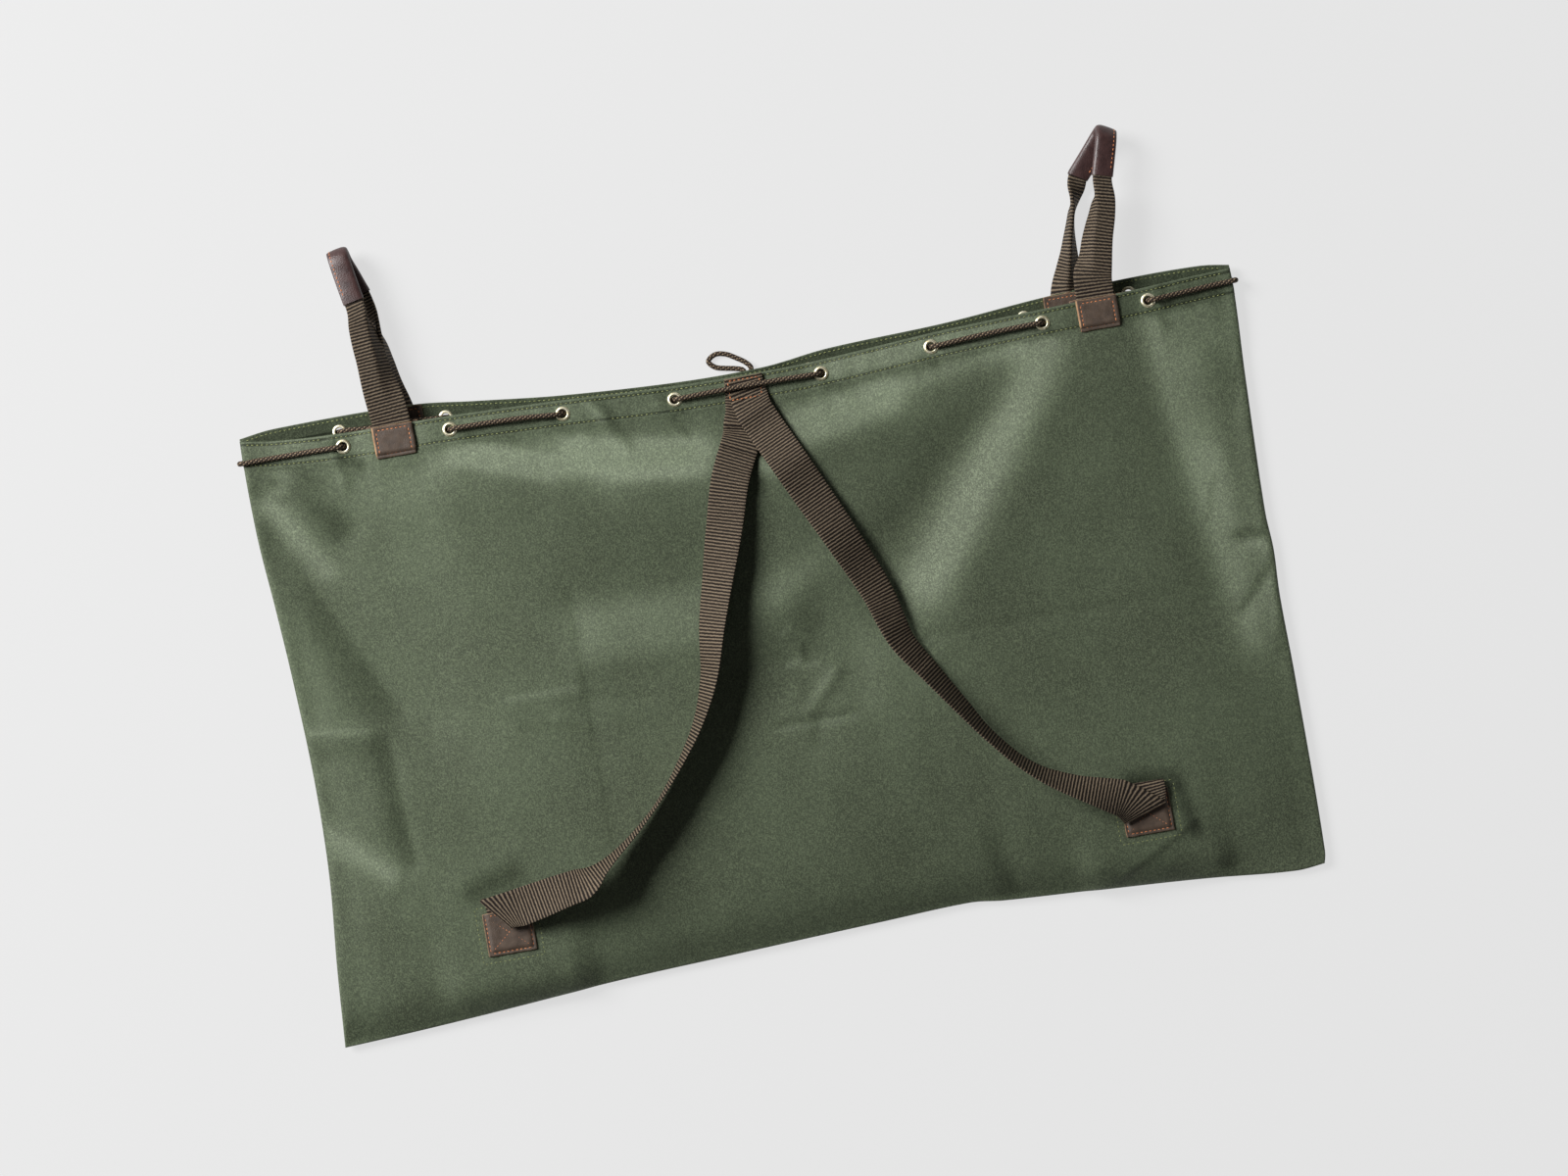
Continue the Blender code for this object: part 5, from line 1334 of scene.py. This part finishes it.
# the cord round the bag's edge: at the left from back to front, at the right from front to back
def edgeWrap(toSide):
    sign = -1 if toSide == "front" else 1
    edge = "left" if sign < 0 else "right"
    edgeY, sink = (value * mm for value in edgeRun[edge])
    seam = float(curveThrough(outline[edge + "Seam"], edgeRun["seamAt"] * mm))
    low, high = faceAt("back", seam, edgeY), float(seamTop(seam, edgeY))
    away = cord["edgeStand"]
    slant = away * math.sqrt(0.5)
    points = [(seam - sign * inward * mm, edgeY + up * mm, z * mm) for inward, up, z in edgeRun["under"]]
    points += [(seam, edgeY + edgeRun["dip"][0] * mm, low - away), (seam + sign * slant, edgeY, low - slant),
               (seam + sign * away, edgeY, low), (seam + sign * away, edgeY, high),
               (seam + sign * slant, edgeY, high + slant), (seam, edgeY - edgeRun["dip"][1] * mm, high + away)]
    for inward, lift in edgeRun["over"]:
        x, y = seam - sign * inward * mm, edgeY - sink * inward / 90
        points.append((x, y, faceAt("front", x, y) + lift * mm))
    return points if toSide == "front" else points[::-1]


def drawcordRoute():
    route = [*(cord["knot"] + cord["leaves"])]
    before = "back"
    overStraps = strapRoot("right")[2] + webbing["thick"] / 2 + cord["thick"] / 2 + cord["overShift"]
    for side, number, goesIn in lacing:
        out = 1 if side == "front" else -1
        at = eyeletRows[side][number]
        last, here = np.array(route[-1]), np.array(eyeletPlace(side, at))
        if before != side:
            route += edgeWrap(side)
        elif not goesIn:
            pastHandle = abs(last[0] + here[0]) > cord["handleSpan"]
            deep = stand["hemLayer"] + cord["insideHandle" if pastHandle else "clear"]
            for share in cord["underShares"]:
                x, y = last[0] + (here[0] - last[0]) * share, (last[1] + here[1]) / 2
                route.append((x, y, faceAt(side, x, y) - out * deep))
        elif side == "front":
            high = overStraps if number == 4 else max(last[2], here[2] + cord["clear"])
            for share in cord["overShares"]:
                x, y, _z = last + (here - last) * share
                route.append((x, y + cord["overShift"], high))
        route += cordThrough(side, at, goesIn, out)
        before = side
    return route + [*(cord["knot"] + cord["returns"])]


def makeCord(name, knots, parts=8):
    path = smoothThrough(knots, parts)
    path = evenSteps(path, max(int(runOf(path)[-1] / cord["ring"]), 8), 3)
    tangents = [Vector(t) for t in unit(np.gradient(path, axis=0))]
    side = tangents[0].orthogonal().normalized()
    turns = np.linspace(0, 2 * math.pi, cord["sides"], endpoint=False)[:, None]
    rings = []
    for point, before, tangent in zip(path, tangents[:1] + tangents, tangents):
        side = before.rotation_difference(tangent) @ side
        a, b = np.array(side), np.cross(tangent, side)
        rings.append(point + cord["thick"] / 2 * (np.cos(turns) * a + np.sin(turns) * b))
    around = np.linspace(0, 1, cord["sides"] + 1)
    makeTube(name, np.array(rings), runOf(path), around, "braided_cord", cordMaterial)


# the knot: the cord wound round itself twice, on the line of the drawcord
def knotPath():
    share = np.linspace(0, 1, 42)
    angle = 2 * math.pi * share * cord["knotTurns"] + cord["knotStart"]
    return cord["knot"] + np.stack([share - 0.5, np.cos(angle), np.sin(angle)], -1) * cord["knotSize"]


makeCord("drawcord", drawcordRoute(), 5)
makeCord("drawcordKnot", knotPath(), 2)
makeCord("drawcordBowLoop", np.array(bowLoop) * mm)
makeCord("drawcordHiddenLoop", np.array(hiddenLoop) * mm)
for side in sides:
    makeCord("drawcordEnd" + side.capitalize(), np.array(cordEnds[side]) * mm)
print("drawcord made")


# Camera, floor and lights

studio = {"lens": 106.7, "above": 5.0, "over": (0.0107, 0.0696), "turn": -10,
          "floorGlow": 0.675, "floorShare": 0.10,
          "sweep": ((6.0, 0.0), (6.4, 0.08), (6.7, 0.3), (6.9, 0.7), (7.0, 1.3), (7.0, 2.1)),
          "keyFrom": (-0.83, 0.56), "keyHeight": 39, "keyAway": 6.2, "keySize": 2.8, "keyPower": 750,
          "fillFrom": (0.5, -0.5, 1), "fillAway": 3.4, "fillSize": 2.6, "fillPower": 1.5, "ambient": 0.05,
          "aim": Vector((0, 0, 0.02))}


# Painted studio floor that runs up into a low wall, lit evenly from beneath as a light table is,
# so that the object throws only a faint shadow on it
def makeSweep():
    made = Shading("lightTableFloor", 0.9, Specular_IOR_Level=0.0, Emission_Color=(1, 1, 1, 1),
                   Emission_Strength=studio["floorGlow"])
    cloud = made.noise(made.place(), 2.0, 2.0)
    share = studio["floorShare"]
    material = made.finish(Base_Color=made.ramp(cloud, (0.3, share * 0.98), (0.7, share)))
    bpy.ops.object.select_all(action="DESELECT")
    bpy.ops.mesh.primitive_circle_add(vertices=96, radius=studio["sweep"][0][0], fill_type="NGON",
                                      location=(0, 0, -0.0005))
    floor = bpy.context.object
    floor.name = "floor"
    bpy.ops.object.mode_set(mode="EDIT")
    bpy.ops.mesh.select_all(action="SELECT")
    bpy.ops.mesh.region_to_loop()
    for (r0, z0), (r1, z1) in zip(studio["sweep"], studio["sweep"][1:]):
        bpy.ops.mesh.extrude_edges_move(TRANSFORM_OT_translate={"value": (0, 0, z1 - z0)})
        bpy.ops.transform.resize(value=(r1 / r0, r1 / r0, 1))
    bpy.ops.object.mode_set(mode="OBJECT")
    floor.data.materials.append(material)


def makeStudio():
    camera = linked("camera", bpy.data.cameras.new("camera"))
    camera.data.lens = studio["lens"]
    camera.data.sensor_width = 36
    camera.data.clip_end = 50
    camera.location = (*studio["over"], studio["above"])
    camera.rotation_euler = (0, 0, math.radians(studio["turn"]))
    bpy.context.scene.camera = camera

    tilt = math.radians(studio["keyHeight"])
    toKey = Vector((*studio["keyFrom"], 0)).normalized() * math.cos(tilt) + Vector((0, 0, math.sin(tilt)))
    for kind, way in (("key", toKey), ("fill", Vector(studio["fillFrom"]).normalized())):
        lamp = linked(kind + "Light", bpy.data.lights.new(kind + "Light", "AREA"))
        lamp.data.size = studio[kind + "Size"]
        lamp.data.energy = studio[kind + "Power"]
        lamp.location = studio["aim"] + way * studio[kind + "Away"]
        lamp.rotation_euler = (-way).to_track_quat("-Z", "Y").to_euler()

    world = bpy.data.worlds.new("studioRoom")
    world.use_nodes = True
    backdrop = world.node_tree.nodes["Background"]
    backdrop.inputs["Color"].default_value = (1, 1, 1, 1)
    backdrop.inputs["Strength"].default_value = studio["ambient"]
    bpy.context.scene.world = world
    bpy.context.scene.view_settings.view_transform = "Standard"


makeSweep()
makeStudio()
print("studio made")
